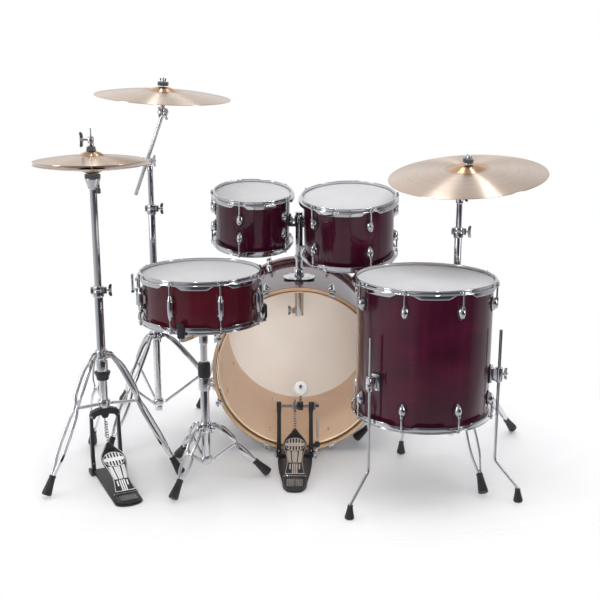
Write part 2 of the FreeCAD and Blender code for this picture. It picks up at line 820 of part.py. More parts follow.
def hi_hat():
    """The hi-hat stand, its two cymbals and the rod that joins the upper one to the pedal."""
    place = Placement(HAT, Rotation())
    tube = size("hat_tube_radius")
    upper = size("hat_upper_radius")
    pull = size("pull_rod_radius")
    members = tripod("hihat", tube, 403.0, 241.0, 0.44, 250.0, -127.0)
    members.append(hollow_tube("hihat_base_tube", tube, upper + size("running_gap"), 224.0, 604.0))
    members.append(collar("hihat_memory_lock", tube, 332.0, 26.0, tube + 10.5))
    members += clamp("hihat_clamp", tube, upper, 592.0, 34.0)
    together("hihat_stand_base", members, place)

    cup_low = HAT_SEAT - HAT_CUP_DEPTH
    upper_tube = hollow_tube("hihat_top_tube", upper, upper - 1.6, 470.0, cup_low - 0.2)
    cup = turned_piece("hihat_cup", [
        (pull + 1.0, cup_low), (15.0, cup_low), (23.0, HAT_SEAT - 8.6),
        (23.0, HAT_SEAT), (pull + 1.0, HAT_SEAT)])
    together("hihat_upper_tube", [upper_tube, cup], place)

    bow = 15.0
    bell = 13.0
    flipped = Placement(HAT + Vector(0, 0, HAT_RIM), about((1, 0, 0), 180))
    cymbal("hihat_bottom_cymbal", size("hat_cymbal_radius"), bow, 42.0, bell, flipped)
    raised = Placement(HAT + Vector(0, 0, HAT_RIM + number(size("hat_gap"))), Rotation())
    cymbal("hihat_top_cymbal", size("hat_cymbal_radius"), bow, 42.0, bell, raised)

    rod_solid = rod("hihat_rod", (0, 0, 122), (0, 0, 1118), pull)
    bell_top = HAT_RIM + number(size("hat_gap")) + bow + bell + number(size("cymbal_thick"))
    clutch = turned_piece("hihat_clutch_body", [
        (pull + 0.1, bell_top - 16.0),
        (5.6, bell_top - 16.0),
        (5.6, bell_top + 14.0),
        (9.0, bell_top + 14.0),
        (9.0, bell_top + 46.0),
        (pull + 0.1, bell_top + 46.0)])
    felt = turned_piece("hihat_felt", ring_outline(5.8, 15.0, bell_top + 0.3, bell_top + 13.8))
    nut = turned_piece("hihat_nut", ring_outline(5.8, 12.0, bell_top - 12.0, bell_top - 2.0))
    wing = rod("hihat_wing_bolt", (-9.2, 0, bell_top + 32), (-30, 0, bell_top + 32), 4.0)
    together("hihat_pull_rod", [rod_solid, clutch, felt, nut, wing], place)


def footboard(label, outline, lift, thickness, placement):
    """A footboard: its outline lies flat, then leans up from its heel hinge."""
    body = new_body(label)
    sketch = draw(body, "XY_Plane", outline)
    pad = body.newObject("PartDesign::Pad", "Board")
    pad.Profile = sketch
    pad.Length = thickness
    body.Tip = pad
    return finish_node(label, body, placement * Placement(Vector(), about((1, 0, 0), lift)))


def board_outline(width, length, toe):
    """Half-widths along a footboard, mirrored: a waisted board that narrows to its toe."""
    half = [
        (width * 0.36, 4.0),
        (width * 0.36, length * 0.28),
        (width * 0.40, length * 0.50),
        (width * 0.50, length * 0.68),
        (width * 0.44, length * 0.84),
        (toe, length)]
    return half + [(-across, along) for across, along in reversed(half)]


def hi_hat_pedal():
    """Yoke, side posts, base and footboard of the hi-hat's pedal; the heel lies towards -Y."""
    place = Placement(HAT, about((0, 0, 1), HAT_PEDAL_TURN))
    frame = [
        box("hihat_yoke", (-46, -14, 196), 92, 28, 27),
        box("hihat_post_left", (-50, -9, 12), 12, 18, 183.6),
        box("hihat_post_right", (38, -9, 12), 12, 18, 183.6),
        box("hihat_sole", (-44, -289, 0), 88, 312, 5),
        box("hihat_foot_left", (-58, -24, 0), 13.6, 47, 11.6),
        box("hihat_foot_right", (44.4, -24, 0), 13.6, 47, 11.6),
        box("hihat_heel", (-38, -288, 5.4), 76, 52, 14)]
    bore = rod("hihat_yoke_bore", (0, 0, 190), (0, 0, 230), size("pull_rod_radius") + 3.0)
    frame[0] = cut("hihat_yoke_drilled", frame[0], bore)
    together("hihat_pedal_frame", frame, place)
    hinge = place * Placement(Vector(0, -232, 20), Rotation())
    footboard("hihat_footboard", board_outline(size("pedal_width"), 216.0, 9.0), 22.0, 5.0, hinge)


# ---------------------------------------------------------------- crash stand

CRASH = Vector(-510, 243, 0)
CRASH_COLLAR = 356.0
CRASH_LOW = 99.0
CRASH_REACH = 325.0
CRASH_HINGE = 31.0
CRASH_ANGLES = (4.7, 124.7, -115.3)
SLEEVE_RADIUS = 4.0
BOOM_HINGE = Vector(0.5, 0.866, 0)
BOOM_PIVOT = Vector(CRASH.x, CRASH.y, 980) - BOOM_HINGE * 17
BOOM_TOP = Vector(-449, 187, 1152)
BOOM_WAY = (BOOM_TOP - BOOM_PIVOT).normalize()
CRASH_CYMBAL = Placement(Vector(-449, 184, 1201), about((0, 1, 0), 3.5) * about((1, 0, 0), 4.5))


def crash_stand():
    """The crash stand: a folding tripod, two tubes, a boom and an 18 inch cymbal."""
    place = Placement(CRASH, Rotation())
    tube = size("crash_tube_radius")
    upper = size("crash_upper_radius")
    base = [
        hollow_tube("crash_tube", tube, upper + size("running_gap"), 72.0, 808.0),
        collar("crash_strut_collar", tube, CRASH_LOW, 20.0, tube + 7.0)]
    base += clamp("crash_clamp", tube, upper, 794.0, 34.0)
    base.append(turned_about(strut_ears("crash_strut_ears", tube + 7.0, CRASH_LOW), CRASH_ANGLES[0]))
    together("crash_base_tube", base, place)

    sliding = turned_piece("crash_ring", ring_outline(
        tube + 0.3, tube + 7.0, CRASH_COLLAR - 15.0, CRASH_COLLAR + 15.0))
    ears = turned_about(leg_ears("crash_leg_ears", tube + 7.0, CRASH_COLLAR), CRASH_ANGLES[0])
    together("crash_leg_collar", [sliding, ears], place)

    hinge, ankle, _ = leg_points(CRASH_HINGE, CRASH_COLLAR, CRASH_REACH)
    rivet = hinge + (ankle - hinge) * 0.52
    low_point = (number(tube) + 15.0, 0, CRASH_LOW)
    for count, angle in enumerate(CRASH_ANGLES, start=1):
        turn = Placement(Vector(), about((0, 0, 1), angle))
        leg = tripod_leg(f"crash_{count}", CRASH_HINGE, CRASH_COLLAR, CRASH_REACH, turn)
        foot = rubber_foot(f"crash_{count}", CRASH_HINGE, CRASH_COLLAR, CRASH_REACH, turn)
        together(f"crash_leg_{count}", [leg, foot], place)
        together(f"crash_strut_{count}", [strut(f"crash_{count}", low_point, rivet, turn)], place)

    column = rod("crash_column", (0, 0, 560), (0, 0, 958), upper)
    head = rod("crash_tilter_post", (0, 0, 958.2), (0, 0, 966), 10.4)
    together("crash_upper_tube", [column, head], place)

    boom = rod("crash_boom_rod", BOOM_PIVOT - BOOM_WAY * 130, BOOM_TOP, size("boom_radius"))
    knuckle = rod("crash_boom_clamp", BOOM_PIVOT - BOOM_HINGE * 10, BOOM_PIVOT + BOOM_HINGE * 30, 12.5)
    joint = rod("crash_cymbal_joint", BOOM_TOP - BOOM_HINGE * 12, BOOM_TOP + BOOM_HINGE * 12, 11.0)
    sleeve_low = CRASH_CYMBAL.multVec(Vector(0, 0, -49))
    sleeve_high = CRASH_CYMBAL.multVec(Vector(0, 0, 64))
    sleeve = rod("crash_sleeve", sleeve_low, sleeve_high, SLEEVE_RADIUS)
    arm = fused("crash_boom_solid", [boom, knuckle, joint, sleeve])
    felt_bore = SLEEVE_RADIUS + 0.1
    low_felt = turned_piece("crash_low_felt", ring_outline(felt_bore, 17.0, 12.0, 28.0), CRASH_CYMBAL)
    top_felt = turned_piece("crash_top_felt", ring_outline(felt_bore, 17.0, 38.0, 50.0), CRASH_CYMBAL)
    together("crash_boom", [arm, low_felt, top_felt])
    cymbal("crash_cymbal", size("crash_cymbal_radius"), 20.0, 50.0, 12.0, CRASH_CYMBAL)


# ---------------------------------------------------------------- ride stand

RIDE = Vector(530, -21, 0)
RIDE_CYMBAL = Placement(Vector(549, -37, 960), about((0, 1, 0), -5.0) * about((1, 0, 0), 9.3))
RIDE_HOLE = RIDE_CYMBAL.multVec(Vector(0, 0, 36)) - RIDE
RIDE_KNUCKLE = Vector(0, 0, 888)
RIDE_WAY = (RIDE_HOLE - RIDE_KNUCKLE).normalize()


def ride_felt(name, near, far):
    """A felt ring on the ride's sleeve, between two distances above the cymbal's hole."""
    low = RIDE_HOLE + RIDE_WAY * near
    high = RIDE_HOLE + RIDE_WAY * far
    bore = rod(f"{name}_bore", low - RIDE_WAY, high + RIDE_WAY, SLEEVE_RADIUS + 0.1)
    return cut(name, rod(f"{name}_disc", low, high, 16.0), bore)


def ride_stand():
    """The ride stand: a tripod, two tubes and a 20 inch cymbal."""
    place = Placement(RIDE, Rotation())
    tube = size("ride_tube_radius")
    upper = size("ride_upper_radius")
    members = tripod("ride", tube, 340.0, 99.0, 0.5, 340.0, -81.0)
    members.append(hollow_tube("ride_tube", tube, upper + size("running_gap"), 72.0, 770.0))
    members += clamp("ride_clamp", tube, upper, 756.0, 34.0)
    together("ride_stand_base", members, place)

    column = rod("ride_column", (0, 0, 520), (0, 0, 880), upper)
    knuckle = rod("ride_knuckle_drum", RIDE_KNUCKLE - Vector(13, 0, 0), RIDE_KNUCKLE + Vector(13, 0, 0), 12.0)
    sleeve = rod("ride_sleeve", RIDE_KNUCKLE, RIDE_HOLE + RIDE_WAY * 27, SLEEVE_RADIUS)
    post = fused("ride_post", [column, knuckle, sleeve])
    felts = [ride_felt("ride_low_felt", -20, -7), ride_felt("ride_top_felt", 8, 18)]
    together("ride_upper_tube", [post] + felts, place)
    cymbal("ride_cymbal", size("ride_cymbal_radius"), 22.0, 60.0, 13.0, RIDE_CYMBAL)


# ---------------------------------------------------------------- snare drum and its stand

SNARE = Vector(-289, -252, 699)
SNARE_STAND = Vector(-290, -218, 0)
GRIP_ANGLES = (-102.0, 14.0, 138.0)


def snare_drum():
    """The snare drum with its long lugs, wires and throw-off."""
    place = Placement(SNARE, Rotation())
    radius = size("snare_radius")
    depth = size("snare_depth")
    turned = make_drum("snare", radius, depth, size("snare_lugs"), 22.5, place)
    total = depth + 2 * (size("rim_rise") + size("head_film"))
    lugs = new_body("snare_lugs")
    middle = -total / 2
    casting = block(lugs, "XZ_Plane", [
        (radius + 0.6, middle - 42), (radius + 13.0, middle - 42), (radius + 19.0, middle - 22),
        (radius + 19.0, middle + 22), (radius + 13.0, middle + 42), (radius + 0.6, middle + 42)], 15.0)
    reach = radius + size("rod_offset")
    upper_rod = pin(lugs, "XY_Plane", (reach, 0), size("rod_radius"), middle + 30, total / 2 - 47.2)
    upper_cap = pin(lugs, "XY_Plane", (reach, 0), 4.0, Size(-13.8, "-13.8"), 7.0)
    lower_rod = pin(lugs, "XY_Plane", (reach, 0), size("rod_radius"), -total + 17.2, total / 2 - 47.2)
    lower_cap = pin(lugs, "XY_Plane", (reach, 0), 4.0, -total + 7.0, 6.8)
    around(lugs, [casting, upper_rod, upper_cap, lower_rod, lower_cap], size("snare_lugs"))
    finish_node("snare_lugs", lugs, turned)

    bottom = -number(total) + number(size("rim_rise"))
    wires = [
        box(f"snare_wire_{index}", (-150, -31 + 6.0 * index, bottom - 2.6), 300, 2.0, 2.0)
        for index in range(11)]
    bars = [
        box(f"snare_wire_bar_{side}", (side * 157 - 6, -36, bottom - 3.4), 12, 70, 2.8)
        for side in (-1, 1)]
    reach = number(radius)
    casing = box("strainer_body", (-reach - 24, -15, -118), 22, 30, 66)
    together("snare_wires_and_strainer", wires + bars + [casing], place)
    lever = rod("strainer_pin", (-reach - 30, -17, -66), (-reach - 30, 17, -66), 5.0)
    handle = box("strainer_lever", (-reach - 35, -6, -64), 7, 12, 52)
    together("snare_throw_off", [fused("strainer_arm", [lever, handle])], place)


def snare_stand():
    """The snare stand: tripod, two tubes, and a three-armed basket that grips the lower hoop."""
    place = Placement(SNARE_STAND, Rotation())
    tube = size("snare_tube_radius")
    upper = size("snare_upper_radius")
    members = tripod("snare_stand", tube, 178.0, 67.0, 0.5, 201.0, -115.6)
    members.append(hollow_tube("snare_stand_tube", tube, upper + size("running_gap"), 50.0, 345.0))
    members += clamp("snare_stand_clamp", tube, upper, 346.0, 46.0)
    together("snare_stand_base", members, place)
    column = rod("snare_column", (0, 0, 200), (0, 0, 470), upper)
    head = rod("snare_column_head", (0, 0, 470.2), (0, 0, 482), 14.0)
    together("snare_upper_tube", [column, head], place)

    hub = Vector(SNARE.x, SNARE.y + 20, 500)
    members = [rod("basket_hub", hub + Vector(0, 0, -12), hub + Vector(0, 0, 12), 20.0),
               rod("basket_neck", hub, SNARE_STAND + Vector(0, 0, 500), 9.0)]
    grips = []
    for index, angle in enumerate(GRIP_ANGLES):
        across, along = polar(number(size("snare_radius")) + 20.0, angle)
        knee = Vector(SNARE.x + across, SNARE.y + along, 527)
        members.append(rod(f"basket_arm_{index}", hub, knee, 5.0))
        grips.append(rod(f"basket_grip_{index}", knee + Vector(0, 0, 6), knee + Vector(0, 0, 48), 8.0))
    together("snare_basket", [fused("basket_frame", members)] + grips)


# ---------------------------------------------------------------- bass pedal

PEDAL = Vector(-4, -37, 0)
SHAFT_HEIGHT = 181.0
BEATER = Vector(19, -130, 107)
AXLE_RADIUS = 5.0


def bass_pedal():
    """The bass pedal: frame, footboard, sprocket shaft with its beater, and the return spring."""
    place = Placement(PEDAL, Rotation())
    shaft = Vector(0, 0, SHAFT_HEIGHT)
    bore = rod("pedal_bearing_bore", shaft + Vector(-70, 0, 0), shaft + Vector(70, 0, 0),
               AXLE_RADIUS + size("running_gap"))
    posts = []
    for side in (-1, 1):
        post = box(f"pedal_post_{side}", (side * 54 - 7, -8, 12), 14, 16, 184)
        posts.append(cut(f"pedal_post_drilled_{side}", post, bore))
    frame = posts + [
        box("pedal_cross", (-70, -14, 0), 140, 26, 11.6),
        box("pedal_sole", (-40, -297, 0), 80, 282.6, 4),
        box("pedal_heel", (-38, -296, 4.4), 76, 78, 12),
        box("pedal_jaw", (-6, 12.4, 12.6), 40, 20, 5),
        box("pedal_jaw_root", (-6, 6, 12.0), 40, 6, 5.6),
        rod("pedal_anchor", (77, 0, 50), (77, 0, 56), 6.0)]
    together("bass_pedal_frame", frame, place)

    hinge = place * Placement(Vector(0, -212, 19), Rotation())
    footboard("bass_footboard", board_outline(size("pedal_width"), 206.0, 9.0), 21.4, 5.0, hinge)

    axle = rod("pedal_axle", shaft + Vector(-61, 0, 0), shaft + Vector(82, 0, 0), AXLE_RADIUS)
    sprocket = rod("pedal_sprocket", shaft + Vector(-8, 0, 0), shaft + Vector(8, 0, 0), 22.0)
    hub = rod("pedal_hub", shaft + Vector(12, 0, 0), shaft + Vector(28, 0, 0), 11.0)
    cam = rod("pedal_cam", shaft + Vector(64, 0, 0), shaft + Vector(72, 0, 0), 13.0)
    stick_start = shaft + Vector(BEATER.x, 0, 0)
    beater = shaft + BEATER
    way = Vector(0, BEATER.y, BEATER.z).normalize()
    stick = rod("beater_stick", stick_start, beater + way * 8, 4.0)
    face = Vector(0, way.z, -way.y)
    felt = rod("beater_head", beater - face * 13, beater + face * 13, size("beater_radius"))
    together("bass_beater", [fused("beater_solid", [axle, sprocket, hub, cam, stick, felt])], place)

    spring = rod("pedal_spring_coil", (77, 0, 60), (77, 0, 166), 6.0)
    together("bass_pedal_spring", [spring], place)


# ---------------------------------------------------------------- build, test and write

bass_drum()
bass_spurs()
tom_mount()
rack_toms()
floor_tom()
hi_hat()
hi_hat_pedal()
crash_stand()
ride_stand()
snare_drum()
snare_stand()
bass_pedal()
doc.recompute()

for thing in doc.Objects:
    if "Invalid" in thing.State or "Error" in thing.State:
        raise RuntimeError(f"{thing.Name} ({thing.Label}) failed: {thing.State}")
for label, thing in nodes.items():
    shape = thing.Shape
    if shape.isNull() or not shape.isValid() or not shape.Solids:
        raise RuntimeError(f"{label} has no valid solid")
    shape.exportStep(f"parts/{label}.step")

whole = Part.makeCompound([thing.Shape for thing in nodes.values()])
print(len(nodes), "nodes;", sum(len(thing.Shape.Solids) for thing in nodes.values()), "solids")
print("bounds", whole.BoundBox)
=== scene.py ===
"""The looks of an acoustic drum kit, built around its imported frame.  Lengths are in millimetres in
the code and in metres in Blender; X to the drummer's right, Y away from the drummer, Z up."""
import math

import bpy
from mathutils import Matrix, Vector


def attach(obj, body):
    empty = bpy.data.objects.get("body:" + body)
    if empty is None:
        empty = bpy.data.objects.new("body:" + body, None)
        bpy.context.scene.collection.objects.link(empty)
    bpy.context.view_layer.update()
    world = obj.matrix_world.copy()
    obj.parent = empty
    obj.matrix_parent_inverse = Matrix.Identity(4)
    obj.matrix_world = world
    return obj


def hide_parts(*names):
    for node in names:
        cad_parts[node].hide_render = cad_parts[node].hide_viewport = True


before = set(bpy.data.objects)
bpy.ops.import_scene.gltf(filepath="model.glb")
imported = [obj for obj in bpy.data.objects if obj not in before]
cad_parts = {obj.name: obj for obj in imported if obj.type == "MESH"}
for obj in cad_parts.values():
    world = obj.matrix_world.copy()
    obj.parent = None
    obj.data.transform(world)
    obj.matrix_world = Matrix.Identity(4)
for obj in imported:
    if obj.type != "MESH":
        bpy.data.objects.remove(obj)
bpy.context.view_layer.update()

MM = 0.001

# ---------------------------------------------------------------- places, as in the frame

BASS_TILT = 1.8
BASS_FACE = Vector((10.0, -7.0, 294.0 * math.cos(math.radians(BASS_TILT))))
BASS_RADIUS = 279.4
BASS_DEPTH = 457.2
BASS_HOOP = 294.0
BASS_PROUD = 13.0
BASS_LUGS = 8
MOUNT_ALONG = 205.0
POST_RADIUS = 12.7
ARM_HEIGHT = 484.0
SPUR_ALONG = 382.0
SPUR_HEIGHT = 300.0
SPUR_KNUCKLE = 280.5
SPUR_FOOT = (396.0, 446.0)

HIGH_TOM = (-148.0, 160.0, 890.0)
MID_TOM = (176.0, 94.0, 884.0)
FLOOR_TOM = (388.0, -305.0, 690.0)
SNARE = (-289.0, -252.0, 699.0)

HAT = (-623.0, -167.0, 0.0)
HAT_PEDAL_TURN = 25.4
CRASH = (-510.0, 243.0, 0.0)
CRASH_CYMBAL = (-449.0, 184.0, 1201.0)
RIDE = (530.0, -21.0, 0.0)
RIDE_CYMBAL = (549.0, -37.0, 960.0)
SNARE_STAND = (-290.0, -218.0, 0.0)
PEDAL = (-4.0, -37.0, 0.0)
SHAFT_HEIGHT = 181.0

SHELL_WALL = 7.0
RIM_RISE = 9.1
ROD_OUT = 13.6
LUG_GAP = 1.6
GASKET_GAP = 0.1


def move(x, y, z):
    """A shift."""
    return Matrix.Translation(Vector((x, y, z)))


def turn(axis, degrees):
    """A turn about X, Y or Z through the origin."""
    return Matrix.Rotation(math.radians(degrees), 4, axis)


def align(start, end, side=None):
    """A frame at start whose Z runs towards end; side, where given, is the way its X leans."""
    z = (Vector(end) - Vector(start)).normalized()
    hint = Vector(side) if side is not None else Vector((0, 0, 1))
    if abs(z.dot(hint.normalized())) > 0.98:
        hint = Vector((1, 0, 0))
    x = (hint - z * hint.dot(z)).normalized()
    y = z.cross(x)
    made = Matrix((x, y, z)).transposed().to_4x4()
    made.translation = Vector(start)
    return made


def outward(reach, height, side=None):
    """A frame off the Z axis, at reach along X, whose own Z looks away from the axis."""
    return align((reach, 0, height), (reach + math.copysign(9.0, reach), 0, height), side)


UPRIGHT = turn("X", 90.0)
BASS = move(*BASS_FACE) @ turn("X", -(90.0 - BASS_TILT))
POST = move(*(BASS @ Vector((0, 0, MOUNT_ALONG)))) @ turn("X", BASS_TILT)
TOM_LEAN = turn("X", 10.5)
HIGH = move(*HIGH_TOM) @ turn("Z", 8.0) @ TOM_LEAN
MID = move(*MID_TOM) @ turn("Z", -8.0) @ TOM_LEAN
FLOOR = move(*FLOOR_TOM)
SNARE_AT = move(*SNARE)
HAT_AT = move(*HAT)
HAT_PEDAL = HAT_AT @ turn("Z", HAT_PEDAL_TURN)
CRASH_AT = move(*CRASH)
CRASH_TILT = move(*CRASH_CYMBAL) @ turn("Y", 3.5) @ turn("X", 4.5)
RIDE_AT = move(*RIDE)
RIDE_TILT = move(*RIDE_CYMBAL) @ turn("Y", -5.0) @ turn("X", 9.3)
STAND_AT = move(*SNARE_STAND)
PEDAL_AT = move(*PEDAL)

# ---------------------------------------------------------------- camera, floor and light


def camera():
    data = bpy.data.cameras.new("Camera")
    data.lens = 57.0
    data.sensor_width = 36.0
    data.clip_end = 100.0
    eye = bpy.data.objects.new("Camera", data)
    eye.location = (0.013, -3.087, 1.283)
    eye.rotation_euler = (math.radians(76.5), 0, 0)
    bpy.context.scene.collection.objects.link(eye)
    bpy.context.scene.camera = eye


def area_light(name, place, aim, size, power, glossy=True):
    """A soft rectangular light aimed at a point; metres.  One that isn't glossy shows in no reflection."""
    data = bpy.data.lights.new(name, "AREA")
    data.shape = "RECTANGLE"
    data.size, data.size_y = size
    data.energy = power
    lamp = bpy.data.objects.new(name, data)
    lamp.location = place
    lamp.visible_glossy = glossy
    lamp.visible_camera = False
    lamp.rotation_euler = (Vector(place) - Vector(aim)).to_track_quat("Z", "Y").to_euler()
    bpy.context.scene.collection.objects.link(lamp)


def surround():
    world = bpy.data.worlds.new("Studio")
    world.use_nodes = True
    bpy.context.scene.world = world
    net = Net(world.node_tree)
    where = net.add("ShaderNodeTexCoord")
    split = net.add("ShaderNodeSeparateXYZ")
    net.join(where.outputs["Generated"], split.inputs[0])
    towards = net.add("ShaderNodeVectorMath", operation="DOT_PRODUCT")
    towards.inputs[1].default_value = (-0.55, 0.83, 0.0)
    net.join(where.outputs["Generated"], towards.inputs[0])
    depth = net.span(towards.outputs["Value"], 0.0, 1.0, -1.0, 1.0)
    wall = net.ramp(depth, [(0.0, (0.04, 0.04, 0.05)), (0.15, (0.06, 0.06, 0.07)), (0.25, (0.34, 0.34, 0.36)),
                            (0.6, (0.50, 0.50, 0.52)), (1.0, (0.66, 0.66, 0.68))])
    above = net.ramp(depth, [(0.0, (0.20, 0.20, 0.21)), (0.45, (0.36, 0.36, 0.38)), (0.7, (0.64, 0.64, 0.66)),
                             (1.0, (1.00, 0.99, 0.99))])
    upper = net.span(split.outputs["Z"], 0.0, 1.0, 0.08, 0.35)
    lower = net.span(split.outputs["Z"], 1.0, 0.0, -0.46, -0.27)
    below = net.ramp(depth, [(0.0, (0.46, 0.46, 0.47)), (0.35, (0.50, 0.50, 0.51)), (0.6, (0.62, 0.62, 0.63)),
                             (1.0, (0.78, 0.78, 0.79))])
    room = net.mix(lower, net.mix(upper, wall, above), below)
    reflected = world.node_tree.nodes["Background"]
    net.join(room, reflected.inputs["Color"])
    seen = net.add("ShaderNodeBackground")
    seen.inputs["Color"].default_value = (1.0, 1.0, 1.0, 1.0)
    choose = net.add("ShaderNodeMixShader")
    net.join(net.add("ShaderNodeLightPath").outputs["Is Camera Ray"], choose.inputs["Fac"])
    net.join(reflected.outputs["Background"], choose.inputs[1])
    net.join(seen.outputs["Background"], choose.inputs[2])
    net.join(choose.outputs["Shader"], world.node_tree.nodes["World Output"].inputs["Surface"])


def studio():
    """A pale floor that fades into the white surround, kept grey round the kit as painted shade, and soft
    boxes.
    """
    bpy.context.scene.view_settings.view_transform = "Standard"
    surround()
    floor = bpy.data.meshes.new("Floor")
    reach = 3.2
    floor.from_pydata([(-reach, -reach, 0), (reach, -reach, 0), (reach, reach, 0), (-reach, reach, 0)], [],
                      [(0, 1, 2, 3)])
    ground = bpy.data.objects.new("Floor", floor)
    ground.location = (0, 0, -0.0012)
    bpy.context.scene.collection.objects.link(ground)
    floor.materials.append(floor_with_painted_shade())

    area_light("Overhead", (0.0, -0.2, 4.6), (0, 0, 0), (5.0, 4.0), 160.0, glossy=False)
    area_light("FrontFill", (0.2, -3.4, 0.9), (0, 0, 0.35), (2.0, 1.2), 96.0, glossy=False)
    area_light("BackFill", (0.3, 3.6, 2.1), (0, 0, 0.5), (3.6, 1.8), 50.0, glossy=False)
    area_light("LeftStrip", (-3.0, -1.5, 1.7), (0, 0, 0.6), (0.6, 2.4), 26.0)
    area_light("RightStrip", (3.2, -1.6, 1.6), (0, 0, 0.6), (0.6, 2.4), 20.0)
    area_light("LeftRoofStrip", (-2.0, 6.5, 16.0), (-2.0, 0, 1.0), (0.5, 6.0), 240.0)
    area_light("RightRoofStrip", (3.2, 6.5, 16.0), (3.2, 0, 1.0), (0.5, 6.0), 240.0)


# ---------------------------------------------------------------- material nodes


class Net:
    """A short way to lay out shader nodes."""

    def __init__(self, tree):
        self.tree = tree

    def add(self, kind, **values):
        """A node with some of its properties set."""
        node = self.tree.nodes.new(kind)
        for key, value in values.items():
            setattr(node, key, value)
        return node

    def join(self, source, target):
        """A link from an output to an input."""
        self.tree.links.new(source, target)

    def ramp(self, source, stops):
        """A colour ramp of (position, colour) stops; gives its colour output."""
        node = self.add("ShaderNodeValToRGB")
        band = node.color_ramp
        while len(band.elements) < len(stops):
            band.elements.new(0.5)
        for element, (place, colour) in zip(band.elements, stops):
            element.position = place
            element.color = (*colour, 1.0)
        self.join(source, node.inputs["Fac"])
        return node.outputs["Color"]

    def place(self, kind="Object", scale=(1, 1, 1), shift=(0, 0, 0)):
        """Texture coordinates, stretched and then shifted."""
        where = self.add("ShaderNodeTexCoord")
        mapping = self.add("ShaderNodeMapping")
        mapping.inputs["Scale"].default_value = scale
        mapping.inputs["Location"].default_value = shift
        self.join(where.outputs[kind], mapping.inputs["Vector"])
        return mapping.outputs["Vector"]

    def noise(self, vector, scale, detail=4.0, roughness=0.55):
        """Fractal noise of a vector."""
        node = self.add("ShaderNodeTexNoise")
        node.inputs["Scale"].default_value = scale
        node.inputs["Detail"].default_value = detail
        node.inputs["Roughness"].default_value = roughness
        self.join(vector, node.inputs["Vector"])
        return node.outputs["Fac"]

    def span(self, source, low, high, start=0.0, end=1.0):
        """A number between start and end mapped to a range."""
        node = self.add("ShaderNodeMapRange")
        node.inputs["From Min"].default_value = start
        node.inputs["From Max"].default_value = end
        node.inputs["To Min"].default_value = low
        node.inputs["To Max"].default_value = high
        self.join(source, node.inputs["Value"])
        return node.outputs["Result"]

    def bump(self, height, strength, distance=0.0004):
        """A bump normal."""
        node = self.add("ShaderNodeBump")
        node.inputs["Strength"].default_value = strength
        node.inputs["Distance"].default_value = distance
        self.join(height, node.inputs["Height"])
        return node.outputs["Normal"]

    def mix(self, factor, first, second):
        """Two colours blended by a number."""
        node = self.add("ShaderNodeMix", data_type="RGBA")
        self.join(factor, node.inputs["Factor"])
        self.join(first, node.inputs["A"])
        self.join(second, node.inputs["B"])
        return node.outputs["Result"]


def material(name, colour=(0.8, 0.8, 0.8), **values):
    """A Principled material; gives it, its net and its shader."""
    made = bpy.data.materials.new(name)
    made.use_nodes = True
    shader = made.node_tree.nodes["Principled BSDF"]
    shader.inputs["Base Color"].default_value = (*colour, 1.0)
    for key, value in values.items():
        shader.inputs[key.replace("_", " ")].default_value = value
    return made, Net(made.node_tree), shader


def floor_with_painted_shade():
    # Painted shade round the kit: the paper is grey and stays opaque only inside an ellipse fitted to the
    # kit's footprint, then fades to clear into the white surround. This is partly a blend into the backdrop
    # and partly a painted pool of shade under the kit.
    made, net, shader = material("Pale paper with painted shade", (0.73, 0.73, 0.735), Roughness=0.9)
    far = net.add("ShaderNodeVectorMath", operation="LENGTH")
    net.join(net.place("Object", (0.60, 1.25, 1.0), (0.0, -0.16, 0.0)), far.inputs[0])
    net.join(net.span(far.outputs["Value"], 1.0, 0.0, 0.60, 1.12), shader.inputs["Alpha"])
    return made


def lacquered_wood(name, dark, deep, light):
    """Stained maple under a clear gloss coat: fine grain round the drum, faint flames up it."""
    made, net, shader = material(name, Roughness=0.34, Coat_Weight=1.0, Coat_Roughness=0.015,
                                 Specular_IOR_Level=0.12, Metallic=0.25)
    fine = net.noise(net.place("UV", (6.0, 240.0, 1.0)), 1.0, 6.0, 0.6)
    flame = net.noise(net.place("UV", (34.0, 4.0, 1.0)), 1.0, 3.0, 0.5)
    broad = net.noise(net.place("UV", (4.0, 7.0, 1.0)), 1.0, 2.0)
    grain = net.ramp(fine, [(0.25, dark), (0.50, deep), (0.80, light)])
    figure = net.ramp(flame, [(0.28, dark), (0.50, deep), (0.75, light)])
    cloud = net.ramp(broad, [(0.30, dark), (0.52, deep), (0.72, light)])
    half = net.span(fine, 0.35, 0.65)
    net.join(net.mix(half, net.mix(net.span(flame, 0.3, 0.7), grain, figure), cloud),
             shader.inputs["Base Color"])
    net.join(net.bump(net.noise(net.place("Object"), 30.0, 2.0), 0.035, 0.002), shader.inputs["Coat Normal"])
    return made


def bare_maple(name, dark, light, coat):
    """Pale or amber maple with long fine grain."""
    made, net, shader = material(name, Roughness=0.42, Coat_Weight=coat, Coat_Roughness=0.15)
    fine = net.noise(net.place("UV", (5.0, 190.0, 1.0)), 1.0, 6.0, 0.6)
    flame = net.noise(net.place("UV", (22.0, 5.0, 1.0)), 1.0, 3.0)
    grain = net.ramp(fine, [(0.30, dark), (0.70, light)])
    broad = net.ramp(flame, [(0.30, dark), (0.70, light)])
    net.join(net.mix(net.span(flame, 0.1, 0.45), grain, broad), shader.inputs["Base Color"])
    net.join(net.bump(fine, 0.08), shader.inputs["Normal"])
    return made


def coated_head(name, colour):
    """Matt sprayed coating on film: faint speckle, slightly greyer clouds."""
    made, net, shader = material(name, Roughness=0.5, Specular_IOR_Level=0.12)
    where = net.place("Object")
    cloud = net.noise(where, 9.0, 3.0)
    darker = tuple(part * 0.94 for part in colour)
    net.join(net.ramp(cloud, [(0.3, darker), (0.7, colour)]), shader.inputs["Base Color"])
    net.join(net.bump(net.noise(where, 1400.0, 2.0), 0.25, 0.0002), shader.inputs["Normal"])
    net.join(net.span(net.noise(where, 60.0), 0.42, 0.58), shader.inputs["Roughness"])
    return made


